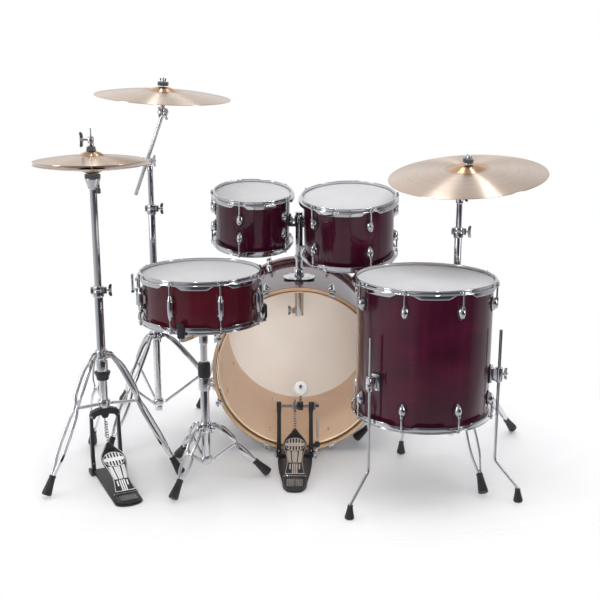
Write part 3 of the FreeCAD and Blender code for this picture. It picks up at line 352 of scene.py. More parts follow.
def clear_film(name):
    """Clear film with a soft gloss, barely milky."""
    made, net, shader = material(name, (0.95, 0.95, 0.93), Roughness=0.12, Alpha=0.08)
    net.join(net.bump(net.noise(net.place("Object"), 14.0, 2.0), 0.15, 0.002), shader.inputs["Normal"])
    return made


def chrome_plate(name, colour, low, high):
    """Bright plate with faint smears."""
    made, net, shader = material(name, colour, Metallic=1.0)
    where = net.place("Object")
    net.join(net.span(net.noise(where, 22.0, 3.0), low, high), shader.inputs["Roughness"])
    net.join(net.bump(net.noise(where, 60.0, 2.0), 0.03, 0.0008), shader.inputs["Normal"])
    return made


def lathed_bronze(name, dark, light, bell_dark, bell_light, bell):
    """Cymbal bronze: fine tonal grooves, a shine drawn out across them, and a warmer bell."""
    made, net, shader = material(name, Metallic=1.0, Anisotropic=0.93, Anisotropic_Rotation=0.25)
    grooves = net.noise(net.place("UV", (0.0, 900.0, 1.0)), 1.0, 5.0, 0.7)
    bands = net.noise(net.place("UV", (0.0, 90.0, 1.0)), 1.0, 3.0)
    where = net.place("Object")
    cloud = net.noise(where, 5.0, 3.0)
    tone = net.mix(net.span(grooves, 0.2, 0.8), net.ramp(bands, [(0.1, dark), (0.9, light)]),
                   net.ramp(cloud, [(0.25, dark), (0.75, light)]))
    warm = net.ramp(grooves, [(0.3, bell_dark), (0.7, bell_light)])
    flat = net.add("ShaderNodeVectorMath", operation="MULTIPLY")
    flat.inputs[1].default_value = (1.0, 1.0, 0.0)
    net.join(where, flat.inputs[0])
    far = net.add("ShaderNodeVectorMath", operation="LENGTH")
    net.join(flat.outputs["Vector"], far.inputs[0])
    on_bow = net.span(far.outputs["Value"], 0.0, 1.0, bell * MM, bell * 1.35 * MM)
    net.join(net.mix(on_bow, warm, tone), shader.inputs["Base Color"])
    net.join(net.span(grooves, 0.20, 0.30), shader.inputs["Roughness"])
    net.join(net.bump(grooves, 0.07, 0.0002), shader.inputs["Normal"])
    way = net.add("ShaderNodeTangent", direction_type="UV_MAP", uv_map="Place")
    net.join(way.outputs["Tangent"], shader.inputs["Tangent"])
    return made


def grainy(name, colour, low, high, scale, strength, **values):
    """Paint, rubber or plastic with a fine grained surface."""
    made, net, shader = material(name, colour, **values)
    where = net.place("Object")
    net.join(net.span(net.noise(where, 40.0), low, high), shader.inputs["Roughness"])
    net.join(net.bump(net.noise(where, scale, 3.0), strength, 0.0004), shader.inputs["Normal"])
    tint = net.noise(where, 18.0, 3.0)
    paler = tuple(min(1.0, part * 1.25 + 0.003) for part in colour)
    net.join(net.ramp(tint, [(0.35, colour), (0.75, paler)]), shader.inputs["Base Color"])
    return made


PLUM = lacquered_wood("Plum lacquer", (0.014, 0.0012, 0.0052), (0.041, 0.0030, 0.0135), (0.088, 0.006, 0.029))
BURGUNDY = lacquered_wood("Burgundy lacquer", (0.024, 0.0020, 0.0042), (0.056, 0.0042, 0.0095),
                          (0.100, 0.008, 0.017))
MAPLE = bare_maple("Inside maple", (0.72, 0.46, 0.26), (0.88, 0.64, 0.40), 0.1)
HOOP_MAPLE = bare_maple("Hoop maple", (0.36, 0.21, 0.11), (0.55, 0.37, 0.22), 0.7)
HOOP_PLUM = bare_maple("Plum hoop maple", (0.075, 0.016, 0.018), (0.140, 0.034, 0.034), 0.8)
HEAD = coated_head("Coated head", (0.48, 0.48, 0.49))
FRONT_HEAD = coated_head("Front head", (0.90, 0.88, 0.84))
FILM = clear_film("Clear head")
CHROME = chrome_plate("Chrome", (0.74, 0.75, 0.77), 0.03, 0.09)
STEEL = chrome_plate("Drawn steel", (0.50, 0.50, 0.51), 0.2, 0.34)
SMALL_BRONZE = lathed_bronze("Hi-hat bronze", (0.60, 0.46, 0.36), (0.84, 0.70, 0.58),
                             (0.54, 0.33, 0.19), (0.78, 0.52, 0.34), 42.0)
BRONZE = lathed_bronze("Cymbal bronze", (0.62, 0.48, 0.38), (0.88, 0.74, 0.62),
                       (0.52, 0.30, 0.16), (0.80, 0.52, 0.32), 58.0)
BLACK = grainy("Black powder coat", (0.012, 0.012, 0.013), 0.3, 0.45, 900.0, 0.12)
RUBBER = grainy("Black rubber", (0.011, 0.011, 0.012), 0.28, 0.42, 500.0, 0.2)
FELT = grainy("Grey felt", (0.045, 0.045, 0.05), 0.9, 1.0, 1300.0, 0.9, Sheen_Weight=0.4)
WHITE = grainy("White beater", (0.56, 0.55, 0.53), 0.35, 0.5, 700.0, 0.1, Coat_Weight=0.2)
FLESH = grainy("Brown flesh hoop", (0.085, 0.045, 0.028), 0.4, 0.55, 700.0, 0.1)
PALE_TRIM = grainy("Pale raised trim", (0.66, 0.66, 0.66), 0.3, 0.42, 800.0, 0.1)
TAUPE_TRIM = grainy("Taupe raised trim", (0.40, 0.34, 0.30), 0.3, 0.42, 800.0, 0.1)

# ---------------------------------------------------------------- shapes


def soften(profile, radius, closed=True, steps=3):
    """A profile with its corners rounded."""
    count = len(profile)
    points = [Vector(corner) for corner in profile]
    made = []
    for index, corner in enumerate(points):
        if not closed and index in (0, count - 1):
            made.append(tuple(corner))
            continue
        before = points[index - 1] - corner
        after = points[(index + 1) % count] - corner
        reach = min(radius, before.length * 0.45, after.length * 0.45)
        start = corner + before.normalized() * reach
        end = corner + after.normalized() * reach
        for step in range(steps + 1):
            part = step / steps
            made.append(tuple(start * (1 - part) ** 2 + corner * 2 * part * (1 - part) + end * part ** 2))
    return made


class Shape:
    """Geometry in millimetres, gathered before it becomes a piece."""

    def __init__(self):
        self.points = []
        self.faces = []
        self.maps = []

    def add(self, points, faces, place=None, maps=None):
        """Take in a mesh, moved to its place."""
        base = len(self.points)
        for point in points:
            self.points.append(place @ Vector(point) if place is not None else Vector(point))
        for number, face in enumerate(faces):
            self.faces.append([base + corner for corner in face])
            self.maps.append(maps[number] if maps else [(0.0, 0.0)] * len(face))
        return self

    def lathe(self, profile, place=None, steps=96, closed=True, bend=None):
        """Turn a profile of (radius, height) about Z.  bend may change a point by its angle."""
        count = len(profile)
        rows = count if closed else count - 1
        along = [0.0]
        for index in range(count):
            here = Vector(profile[index])
            after = Vector(profile[(index + 1) % count])
            along.append(along[-1] + (after - here).length)
        middle = max(abs(radius) for radius, _ in profile)
        points, faces, maps = [], [], []
        for step in range(steps):
            angle = 2 * math.pi * step / steps
            for radius, height in profile:
                if bend is not None:
                    radius, height = bend(angle, radius, height)
                points.append((radius * math.cos(angle), radius * math.sin(angle), height))
        for step in range(steps):
            after = (step + 1) % steps
            left = 2 * math.pi * step / steps * middle * MM
            right = 2 * math.pi * (step + 1) / steps * middle * MM
            for row in range(rows):
                other = (row + 1) % count
                corners = [(step, row, left), (after, row, right), (after, other, right), (step, other, left)]
                low = along[row] * MM
                high = along[row + 1] * MM
                heights = (low, low, high, high)
                faces.append([column * count + line for column, line, _ in corners])
                maps.append([(across, height) for (_, _, across), height in zip(corners, heights)])
        return self.add(points, faces, place, maps)

    def turned(self, profile, ease, place=None, steps=96, closed=True, arcs=3):
        """Turn a profile with rounded corners about Z."""
        return self.lathe(soften(profile, ease, closed, arcs), place, steps, closed)

    def rod(self, start, end, radius, end_radius=None, steps=24, soft=0.6):
        """A round bar with eased ends."""
        end_radius = radius if end_radius is None else end_radius
        length = (Vector(end) - Vector(start)).length
        profile = soften([(0.0, 0.0), (radius, 0.0), (end_radius, length), (0.0, length)],
                         soft, closed=False)
        return self.lathe(profile, align(start, end), steps, closed=False)

    def sweep(self, path, section, place=None, side=(0, 1, 0), looped=False):
        """Carry a section of (across, over) points along a path; across leans towards side."""
        spots = [Vector(spot) for spot in path]
        last = len(spots) - 1
        count = len(section)
        points, faces = [], []
        for index, spot in enumerate(spots):
            if looped:
                way = spots[(index + 1) % len(spots)] - spots[index - 1]
            else:
                way = spots[min(index + 1, last)] - spots[max(index - 1, 0)]
            way.normalize()
            across = Vector(side) - way * Vector(side).dot(way)
            across.normalize()
            over = way.cross(across)
            points += [tuple(spot + across * a + over * b) for a, b in section]
        rings = len(spots) if looped else last
        for ring in range(rings):
            base = ring * count
            other = ((ring + 1) % len(spots)) * count
            for corner in range(count):
                after = (corner + 1) % count
                faces.append([base + corner, base + after, other + after, other + corner])
        if not looped:
            faces.append(list(range(count))[::-1])
            faces.append([last * count + corner for corner in range(count)])
        return self.add(points, faces, place)

    def tube(self, path, radius, place, steps, side):
        """A round wire along a path."""
        ring = [(radius * math.cos(2 * math.pi * k / steps), radius * math.sin(2 * math.pi * k / steps))
                for k in range(steps)]
        return self.sweep(path, ring, place, side)

    def slab(self, outline, low, high, place=None, ease=0.8):
        """A flat plate of an outline, with its top and bottom edges eased."""
        middle = Vector((sum(x for x, _ in outline), sum(y for _, y in outline))) / len(outline)
        ease = min(ease, (high - low) * 0.45)
        levels = [(low, ease), (low + ease, 0.0), (high - ease, 0.0), (high, ease)]
        points = []
        for height, inset in levels:
            for x, y in outline:
                inward = middle - Vector((x, y))
                if inward.length > 0:
                    inward = inward.normalized() * min(inset, inward.length * 0.5)
                points.append((x + inward.x, y + inward.y, height))
        count = len(outline)
        faces = [list(range(count))[::-1], [3 * count + corner for corner in range(count)]]
        for level in range(3):
            for corner in range(count):
                after = (corner + 1) % count
                base = level * count
                faces.append([base + corner, base + after, base + count + after, base + count + corner])
        return self.add(points, faces, place)

    def block(self, along_x, along_y, along_z, round_by, place=None, ease=0.8):
        """A rectangular block between (low, high) limits, with rounded upright edges."""
        outline = box_outline(*along_x, *along_y, round_by)
        return self.slab(outline, *along_z, place, ease)

    def take(self, other, place=None):
        """Take in another shape, moved to its place."""
        return self.add(other.points, other.faces, place, other.maps)

    def moved(self, place):
        """A copy of the shape, moved to its place."""
        return Shape().take(self, place)

    def around(self, other, count, first=0.0, place=None):
        """Repeat another shape evenly about Z."""
        for step in range(count):
            spin = turn("Z", first + 360.0 * step / count)
            self.take(other, place @ spin if place is not None else spin)
        return self

    def piece(self, name, finish, body, slot=None, stands_for=(), place=None, crease=34.0):
        """Make the gathered geometry one piece that rides on a body."""
        origin = place if place is not None else Matrix.Identity(4)
        back = origin.inverted()
        mesh = bpy.data.meshes.new(name)
        mesh.from_pydata([tuple((back @ point) * MM) for point in self.points], [], self.faces)
        layer = mesh.uv_layers.new(name="Place")
        flat = [value for corners in self.maps for pair in corners for value in pair]
        layer.data.foreach_set("uv", flat)
        mesh.polygons.foreach_set("use_smooth", [True] * len(mesh.polygons))
        mesh.validate()
        mesh.set_sharp_from_angle(angle=math.radians(crease))
        mesh.materials.append(finish)
        made = bpy.data.objects.new(name, mesh)
        bpy.context.scene.collection.objects.link(made)
        set_place = origin.copy()
        set_place.translation = origin.translation * MM
        made.matrix_world = set_place
        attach(made, body)
        if stands_for:
            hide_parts(*stands_for)
        return made


def box_outline(low_x, high_x, low_y, high_y, round_by=2.0):
    """A rectangle with rounded corners."""
    return soften([(low_x, low_y), (high_x, low_y), (high_x, high_y), (low_x, high_y)], round_by)


def oval(across, along, steps=24, centre=(0.0, 0.0)):
    """An ellipse."""
    return [(centre[0] + across * math.cos(2 * math.pi * k / steps),
             centre[1] + along * math.sin(2 * math.pi * k / steps)) for k in range(steps)]


def wing_bolt(shape, base, way, length=14.0, span=17.0, side=(0, 0, 1)):
    """A wing bolt: shank, hub and two rounded wings, standing at base and pointing along way."""
    place = align(base, Vector(base) + Vector(way), side)
    shape.turned([(0, 0), (3.4, 0), (3.4, length - 7), (5.6, length - 5), (5.6, length + 5),
                  (0, length + 5)], 0.8, place, 20, closed=False)
    wing = soften([(3.0, -4.5), (9.0, -5.5), (span, -3.0), (span + 3.0, 2.0), (span + 1.0, 6.5), (9.0, 5.0),
                   (3.0, 4.5)], 3.0)
    for flip in (1, -1):
        outline = [(across * flip, along) for across, along in wing]
        if flip < 0:
            outline.reverse()
        shape.slab(outline, -2.2, 2.2, place @ move(0, 0, length) @ UPRIGHT, 0.7)


# ---------------------------------------------------------------- drums


def scallop(lugs, deep, shallow):
    """The lower edge of a hoop's skirt: deep between the lugs, cut up beside each."""
    def edge(angle):
        away = abs((angle * lugs / (2 * math.pi) + 0.5) % 1.0 - 0.5) * 2 * math.pi / lugs
        part = min(1.0, max(0.0, (away - 0.10) / 0.11))
        return shallow + (deep - shallow) * part * part * (3 - 2 * part)
    return edge


def steel_hoop(shape, radius, lugs, place):
    """A double-flanged steel hoop below its rim at height zero, with an ear for each rod."""
    inner = radius + 3.0
    skirt = radius + 14.2
    outer = radius + 16.1
    lower = -22.0
    profile = soften([(inner, -1.0), (inner + 1.2, 0.0), (radius + 8.0, 0.0), (radius + 9.0, -1.2),
                      (radius + 8.4, -2.6), (radius + 5.2, -3.2), (radius + 5.2, -9.0), (skirt, -10.4),
                      (outer, -11.6), (outer, lower), (skirt, lower), (skirt, -12.6), (inner, -10.8)], 0.9)
    edge = scallop(lugs, -24.0, -13.6)

    def bend(angle, across, height):
        if height < -12.6:
            height = -12.6 + (height + 12.6) * (edge(angle) + 12.6) / (lower + 12.6)
        return across, height

    shape.lathe(profile, place, lugs * 26, bend=bend)
    ear = Shape().block((radius + 6.0, radius + 19.0), (-8.5, 8.5), (-13.6, -10.2), 4.0)
    shape.around(ear, lugs, 0.0, place)


def tension_rods(shape, radius, lugs, down, place):
    """Square-headed rods with washers, from a hoop's ears to the lugs."""
    reach = radius + ROD_OUT
    one = Shape()
    one.rod((reach, 0, -10.4), (reach, 0, -8.8), 5.4, soft=0.4)
    one.rod((reach, 0, -8.8), (reach, 0, -6.4), 4.6, soft=0.5)
    one.block((reach - 3.0, reach + 3.0), (-3.0, 3.0), (-6.4, -0.8), 0.6)
    one.rod((reach, 0, -down), (reach, 0, -10.4), 2.75, steps=16)
    shape.around(one, lugs, 0.0, place)


def lug_outline(part, half):
    """Half-width of a teardrop lug, from its rod end at 0 to its round end at 1."""
    return half * math.sin(math.pi * min(1.0, part ** 0.72)) ** 0.62 if 0 < part < 1 else 0.0


def teardrop(shape, radius, top, length, half, depth, gasket):
    """One teardrop lug on a shell at +X, hanging from height top, on its dark gasket."""
    rows, columns = 18, 14
    points, faces = [], []
    for row in range(rows + 1):
        part = 0.015 + 0.97 * row / rows
        width = lug_outline(part, half)
        swell = depth * (0.50 + 0.50 * math.sin(math.pi * min(1.0, part * 0.95 + 0.05)) ** 0.8)
        swell = swell * min(1.0, width / half * 1.5)
        height = top - part * length
        for column in range(columns + 1):
            angle = math.pi * column / columns
            across = width * math.cos(angle)
            rise = swell * math.sin(angle) ** 0.75
            points.append((radius + 1.4 + rise, across, height))
    for row in range(rows):
        for column in range(columns):
            base = row * (columns + 1) + column
            faces.append([base, base + 1, base + columns + 2, base + columns + 1])
    faces.append(list(range(columns + 1))[::-1])
    faces.append([rows * (columns + 1) + column for column in range(columns + 1)])
    shape.add(points, faces)
    reach = radius + ROD_OUT
    nut = soften([(0, 0), (4.9, 0), (4.9, 11.0), (3.1, 12.6), (3.1, 6.0), (0, 6.0)], 0.5, closed=False)
    shape.lathe(nut, move(reach, 0, top - 10.0), 20, closed=False)
    rim = []
    for row in range(21):
        rim.append((top + 1.2 - (length + 2.4) * row / 20, lug_outline(0.02 + 0.96 * row / 20, half) + 1.6))
    flat = [(-height, across) for height, across in rim]
    flat += [(-height, -across) for height, across in reversed(rim)]
    gasket.slab(flat, radius + 0.1, radius + 2.2, turn("Y", 90), 0.4)


def head(shape, ring, radius, crown=1.2):
    """A head below a rim at height zero: film with its rounded collar, and the flesh ring."""
    film = -8.6
    profile = [(0.0, film + crown)]
    for step in range(1, 9):
        part = step / 8
        profile.append((part * (radius - 5.0), film + crown * (1 - part ** 2)))
    profile += [(radius - 2.0, film - 0.05), (radius + 0.4, film - 1.4), (radius + 1.2, film - 4.0)]
    shape.lathe(profile, steps=128, closed=False)
    ring.turned([(radius + 0.9, film - 1.6), (radius + 2.4, film - 1.2), (radius + 2.4, film - 6.8),
                 (radius + 0.9, film - 6.8)], 0.5, steps=128)


def drum(name, body, place, radius, depth, lugs, first, finish, slot, long_lugs=False):
    """One tom, floor tom or snare: shell, hoops, heads, lugs and rods."""
    total = depth + 2 * RIM_RISE
    middle = -total / 2
    over = place @ turn("Z", first)
    under = place @ move(0, 0, -total) @ turn("X", 180) @ turn("Z", -first)
    top = -RIM_RISE - 0.2
    bottom = -top - total
    outside = Shape()
    outside.turned([(radius - 2.5, top), (radius, top - 3.0), (radius, bottom + 3.0),
                    (radius - 2.5, bottom)], 1.0, place, 144, closed=False)
    outside.piece(f"{name}_shell_skin", finish, body, slot, (f"{name}_shell",), place)
    inside = Shape()
    inside.lathe([(radius - 2.5, bottom), (radius - SHELL_WALL, bottom + 4.0),
                  (radius - SHELL_WALL, top - 4.0), (radius - 2.5, top)], place, 96, closed=False)
    inside.piece(f"{name}_shell_inside", MAPLE, body, "hoop_maple", (), place)

    hoops = Shape()
    steel_hoop(hoops, radius, lugs, over)
    steel_hoop(hoops, radius, lugs, under)
    hoops.piece(f"{name}_steel_hoops", CHROME, body, "chrome", (f"{name}_hoops",), place)

    film, ring = Shape(), Shape()
    head(film, ring, radius)
    films, rings = Shape(), Shape()
    for side in (over, under):
        films.take(film, side)
        rings.take(ring, side)
    films.piece(f"{name}_head_films", HEAD, body, "coated_head", (f"{name}_heads",), place)
    rings.piece(f"{name}_flesh_rings", STEEL, body, "chrome", (), place)

    metal, gaskets = Shape(), Shape()
    for side in (over, under):
        one, mat = Shape(), Shape()
        if long_lugs:
            tension_rods(metal, radius, lugs, total / 2 - 26.0, side)
        else:
            tension_rods(metal, radius, lugs, 58.0, side)
            teardrop(one, radius, -48.0, 41.0, 11.6, 17.0, mat)
            metal.around(one, lugs, 0.0, side)
            gaskets.around(mat, lugs, 0.0, side)
    if long_lugs:
        one, mat = Shape(), Shape()
        spindle_lug(one, mat, radius, middle)
        metal.around(one, lugs, 0.0, over)
        gaskets.around(mat, lugs, 0.0, over)
    return metal, gaskets


def spindle_lug(metal, gasket, radius, middle):
    """A long snare lug: a spindle on two feet."""
    half = 36.0
    reach = radius + ROD_OUT
    profile = [(0.0, -half), (4.6, -half), (5.4, -half + 3)]
    for step in range(13):
        part = step / 12
        profile.append((5.6 + 3.2 * math.sin(math.pi * part) ** 0.8, -half + 5 + (2 * half - 10) * part))
    profile += [(5.4, half - 3), (4.6, half), (0.0, half)]
    metal.lathe(profile, move(reach - 1.0, 0, middle), 24, closed=False)
    for side in (-1, 1):
        foot = middle + side * 21.0
        metal.slab(oval(7.5, 9.0, 24), 0.0, 14.0, outward(radius + LUG_GAP, foot), 2.0)
        gasket.slab(oval(9.0, 10.5, 24), 0.0, 1.6, outward(radius + GASKET_GAP, foot), 0.4)


def rack_tom(name, body, place, radius, depth, first):
    """A rack tom with its bracket on the post's arm."""
    metal, gaskets = drum(name, body, place, radius, depth, 5, first, PLUM, "plum_lacquer")
    metal.piece(f"{name}_lugs_and_rods", CHROME, body, "chrome", (f"{name}_lugs",), place)
    arm = place.inverted() @ (POST @ Vector((0, 0, ARM_HEIGHT)))
    heading = math.degrees(math.atan2(arm.y, arm.x))
    distance = math.hypot(arm.x, arm.y)
    at_arm = place @ move(0, 0, arm.z) @ turn("Z", heading)
    start = radius + LUG_GAP
    room = min(10.6, distance - 16.6 - start - 1.6)
    bracket = Shape()
    bracket.slab(oval(22.0, 16.0, 32), 0.0, room * 0.45, at_arm @ outward(start, 0), 1.2)
    bracket.turned([(7.2, 0.0), (12.0, 0.0), (12.0, room), (7.2, room)], 1.0, at_arm @ outward(start, 0),
                   32)
    wing_bolt(bracket, at_arm @ Vector((start + room * 0.7, 0, -11.0)), (0, 0, -1), 8.0, 11.0, (1, 0, 0))
    bracket.piece(f"{name}_arm_bracket", CHROME, body, "chrome", (f"{name}_bracket",), place)
    gaskets.slab(oval(24.0, 18.0, 32), 0.0, 1.5, at_arm @ outward(radius + GASKET_GAP, 0), 0.4)
    gaskets.piece(f"{name}_gaskets", RUBBER, body, None, (), place)


def floor_tom():
    """The floor tom, its leg brackets and bent legs."""
    radius, depth = 203.2, 406.4
    metal, gaskets = drum("floor_tom", "kit_base", FLOOR, radius, depth, 8, 22.5, PLUM, "plum_lacquer")
    legs = (("left", -138.0, 309.0), ("right", -17.0, 308.0), ("rear", 95.0, 294.0))
    reach = 231.0
    bracket_height = 402.0
    for side, angle, foot_reach in legs:
        at = move(FLOOR_TOM[0], FLOOR_TOM[1], 0) @ turn("Z", angle)
        metal.block((-17, 17), (-25, 25), (0.0, 7.0), 5,
                    at @ outward(radius + LUG_GAP, bracket_height, (0, 1, 0)), 1.5)
        metal.block((radius + 8.0, reach + 11.0), (-9.0, 9.0), (bracket_height - 19, bracket_height + 19),
                    5.0, at, 2.5)
        metal.turned([(5.0, -24.0), (10.5, -22.0), (10.5, 22.0), (5.0, 24.0)], 1.5,
                     at @ move(reach, 0, bracket_height), 28)
        wing_bolt(metal, at @ Vector((reach + 8.0, 0, bracket_height)), at.to_3x3() @ Vector((0.6, 0.8, 0)),
                  16.0, 16.0)
        gaskets.block((-18.5, 18.5), (-27, 27), (0.0, 1.4), 6,
                      at @ outward(radius + GASKET_GAP, bracket_height, (0, 1, 0)), 0.4)
        wire, foot = Shape(), Shape()
        bend = Vector((reach, 0, 128))
        ankle = Vector((foot_reach, 0, 40))
        path = [Vector((reach, 0, 541)), Vector((reach, 0, 150)), Vector((reach, 0, 138))]
        for step in range(1, 6):
            part = step / 5
            path.append(Vector((reach, 0, 138)) * (1 - part) ** 2 + bend * 2 * part * (1 - part)
                        + (bend + (ankle - bend).normalized() * 10) * part ** 2)
        path.append(ankle)
        wire.tube(path, 4.75, at, 20, side=(0, 1, 0))
        wire.piece(f"floor_tom_leg_rod_{side}", CHROME, f"floor_tom_leg_{side}_body", "chrome",
                   (f"floor_tom_leg_{side}",))
        down = (ankle - bend).normalized()
        start = at @ (ankle - down * 6)
        ribbed_foot(foot, start, at @ Vector((foot_reach, 0, 0.9)), 8.5, 14.5, 7)
        foot.piece(f"floor_tom_leg_tip_{side}", RUBBER, f"floor_tom_leg_{side}_body")
    metal.piece("floor_tom_lugs_and_brackets", CHROME, "kit_base", "chrome", ("floor_tom_lugs",), FLOOR)
    gaskets.piece("floor_tom_gaskets", RUBBER, "kit_base", None, (), FLOOR)


def ribbed_foot(shape, top, bottom, top_radius, bottom_radius, ribs=8):
    """A tapered rubber foot with grooves along it."""
    length = (Vector(bottom) - Vector(top)).length

    def bend(angle, across, height):
        groove = max(0.0, math.cos(angle * ribs)) ** 3
        depth = 1.3 if length * 0.16 < height < length * 0.86 else 0.0
        return max(0.0, across - groove * depth), height

    profile = [(0.0, 0.0), (top_radius - 1.5, 0.0), (top_radius, 1.5), (top_radius, length * 0.12),
               (top_radius - 0.6, length * 0.16)]
    for step in range(1, 8):
        part = step / 8
        swell = top_radius + (bottom_radius - top_radius) * part ** 1.3
        profile.append((swell, length * (0.16 + 0.70 * part)))
    profile += [(bottom_radius, length * 0.87), (bottom_radius, length - 3.0),
                (bottom_radius - 2.0, length - 0.5), (bottom_radius - 5.0, length), (0.0, length)]
    shape.lathe(profile, align(top, bottom), ribs * 10, closed=False, bend=bend)


# ---------------------------------------------------------------- bass drum


def bass_drum():
    """The bass drum with its clear head, so that its inside shows."""
    radius, depth = BASS_RADIUS, BASS_DEPTH
    total = depth + 2 * BASS_PROUD
    near, far = BASS_PROUD, BASS_PROUD + depth
    body = "kit_base"
    skin = Shape().turned([(radius - 2.5, near), (radius, near + 3), (radius, far - 3),
                           (radius - 2.5, far)], 1.0, BASS, 192, closed=False)
    skin.piece("bass_drum_shell_skin", PLUM, body, "plum_lacquer", ("bass_drum_shell",), BASS)
    inside = Shape().lathe([(radius - 2.5, far), (radius - SHELL_WALL, far - 4),
                            (radius - SHELL_WALL, near + 4), (radius - 2.5, near)], BASS, 144, closed=False)
    inside.piece("bass_drum_shell_inside", MAPLE, body, "hoop_maple", (), BASS)

    near_hoop, far_hoop, lines = Shape(), Shape(), Shape()
    for hoop, skin_room, face, sign in ((near_hoop, 0.6, 0.0, 1), (far_hoop, 0.0, total, -1)):
        edge = BASS_HOOP - skin_room
        band = soften([(BASS_HOOP - 10.5, face), (edge, face), (edge, face + sign * 38),
                       (BASS_HOOP - 9.0, face + sign * 38), (BASS_HOOP - 9.0, face + sign * 12.4),
                       (BASS_HOOP - 12.0, face + sign * 12.0)], 2.2)
        hoop.lathe(band, BASS, 192)
        lines.turned([(BASS_HOOP - 13.4, face + sign * 11.8), (BASS_HOOP - 11.6, face + sign * 8.0),
                      (BASS_HOOP - 9.8, face + sign * 8.0), (BASS_HOOP - 9.8, face + sign * 11.8)], 0.6,
                     BASS, 160)
    far_hoop.lathe([(BASS_HOOP - 0.7, 1.2), (BASS_HOOP, 2.2), (BASS_HOOP, 36.4), (BASS_HOOP - 0.7, 37.4)],
                   BASS, 192, closed=False)
    near_hoop.piece("bass_drum_batter_hoop", HOOP_MAPLE, body, "hoop_maple", ("bass_drum_hoops",), BASS)
    far_hoop.piece("bass_drum_plum_hoops", HOOP_PLUM, body, "plum_lacquer", (), BASS)
    lines.piece("bass_drum_flesh_hoops", FLESH, body, None, (), BASS)

    batter = Shape().lathe([(0.0, near - 0.3), (radius - 3, near - 0.3), (radius, near - 0.1),
                            (radius + 3.5, near + 4)], BASS, 144, closed=False)
    batter.piece("bass_drum_batter_film", FILM, body, "coated_head", ("bass_drum_heads",), BASS)
    front = Shape().lathe([(0.0, far + 0.6), (radius - 3, far + 0.6), (radius, far + 0.2),
                           (radius + 3.5, far - 4)], BASS, 144, closed=False)
    front.piece("bass_drum_front_film", FRONT_HEAD, body, "coated_head", (), BASS)

    metal, gaskets, screws = Shape(), Shape(), Shape()
    for face, flip in ((0.0, 180), (total, 0)):
        to_rim = BASS @ move(0, 0, face) @ turn("X", flip)
        one, mat = Shape(), Shape()
        teardrop(one, radius, -80.0, 41.0, 11.6, 24.0, mat)
        metal.around(one, BASS_LUGS, 22.5, to_rim)
        gaskets.around(mat, BASS_LUGS, 22.5, to_rim)
        claw = Shape()
        reach = BASS_HOOP + 9.0
        claw.sweep([(BASS_HOOP - 9.0, 0, 1.2), (BASS_HOOP - 4, 0, 2.4), (BASS_HOOP + 2.0, 0, 2.2),
                    (BASS_HOOP + 5.5, 0, -2.0), (BASS_HOOP + 6.0, 0, -14.0), (BASS_HOOP + 2.4, 0, -30.0)],
                   soften([(-10, -1.3), (10, -1.3), (10, 1.3), (-10, 1.3)], 0.8))
        claw.rod((reach, 0, -90), (reach, 0, 6.5), 3.0, steps=16)
        claw.rod((reach, 0, -8), (reach, 0, 3.2), 6.2)
        claw.rod((reach, -10, 8.0), (reach, 10, 8.0), 3.2, steps=16, soft=1.6)
        claw.rod((reach, 0, 2.0), (reach, 0, 9.0), 4.4)
        metal.around(claw, BASS_LUGS, 22.5, to_rim)
        for offset in (-91.0, -109.0):
            one_screw = Shape().rod((radius - 6.6, 0, offset), (radius - 9.4, 0, offset), 5.2, 4.0, 16)
            screws.around(one_screw, BASS_LUGS, 22.5, to_rim)
    metal.piece("bass_drum_lugs_and_claws", CHROME, body, "chrome", ("bass_drum_lugs", "bass_drum_claws"),
                BASS)
    gaskets.piece("bass_drum_gaskets", RUBBER, body, None, (), BASS)
    screws.piece("bass_drum_lug_screws", STEEL, body, "chrome", (), BASS)


def spurs():
    """The two spurs of the bass drum."""
    for side, sign in (("left", -1), ("right", 1)):
        pivot = Vector((BASS_FACE.x + sign * SPUR_KNUCKLE, SPUR_ALONG, SPUR_HEIGHT))
        start = pivot + Vector((sign * 14, 0, 0))
        foot = Vector((BASS_FACE.x + sign * SPUR_FOOT[0], SPUR_FOOT[1], 0))
        down = (foot - start).normalized()
        metal, rubber = Shape(), Shape()
        metal.turned([(0, 0), (14.6, 0), (14.6, 9), (12.5, 11), (14.0, 13), (14.0, 25), (0, 25.6)], 1.4,
                     align(pivot, pivot + Vector((sign, 0, 0))), 40, closed=False)
        metal.rod(start, foot - down * 36, 6.2)
        metal.rod(start + down * 12, start + down * 40, 9.5, 8.0)
        wing_bolt(metal, pivot + Vector((sign * 24, 0, 0)), (sign, 0, 0), 12.0, 14.0)
        metal.piece(f"bass_spur_metal_{side}", CHROME, f"bass_spur_{side}_body", "chrome",
                    (f"bass_spur_{side}",))
        ribbed_foot(rubber, foot - down * 44, foot - down * 3.5, 8.6, 12.2, 7)
        rubber.piece(f"bass_spur_tip_{side}", RUBBER, f"bass_spur_{side}_body")


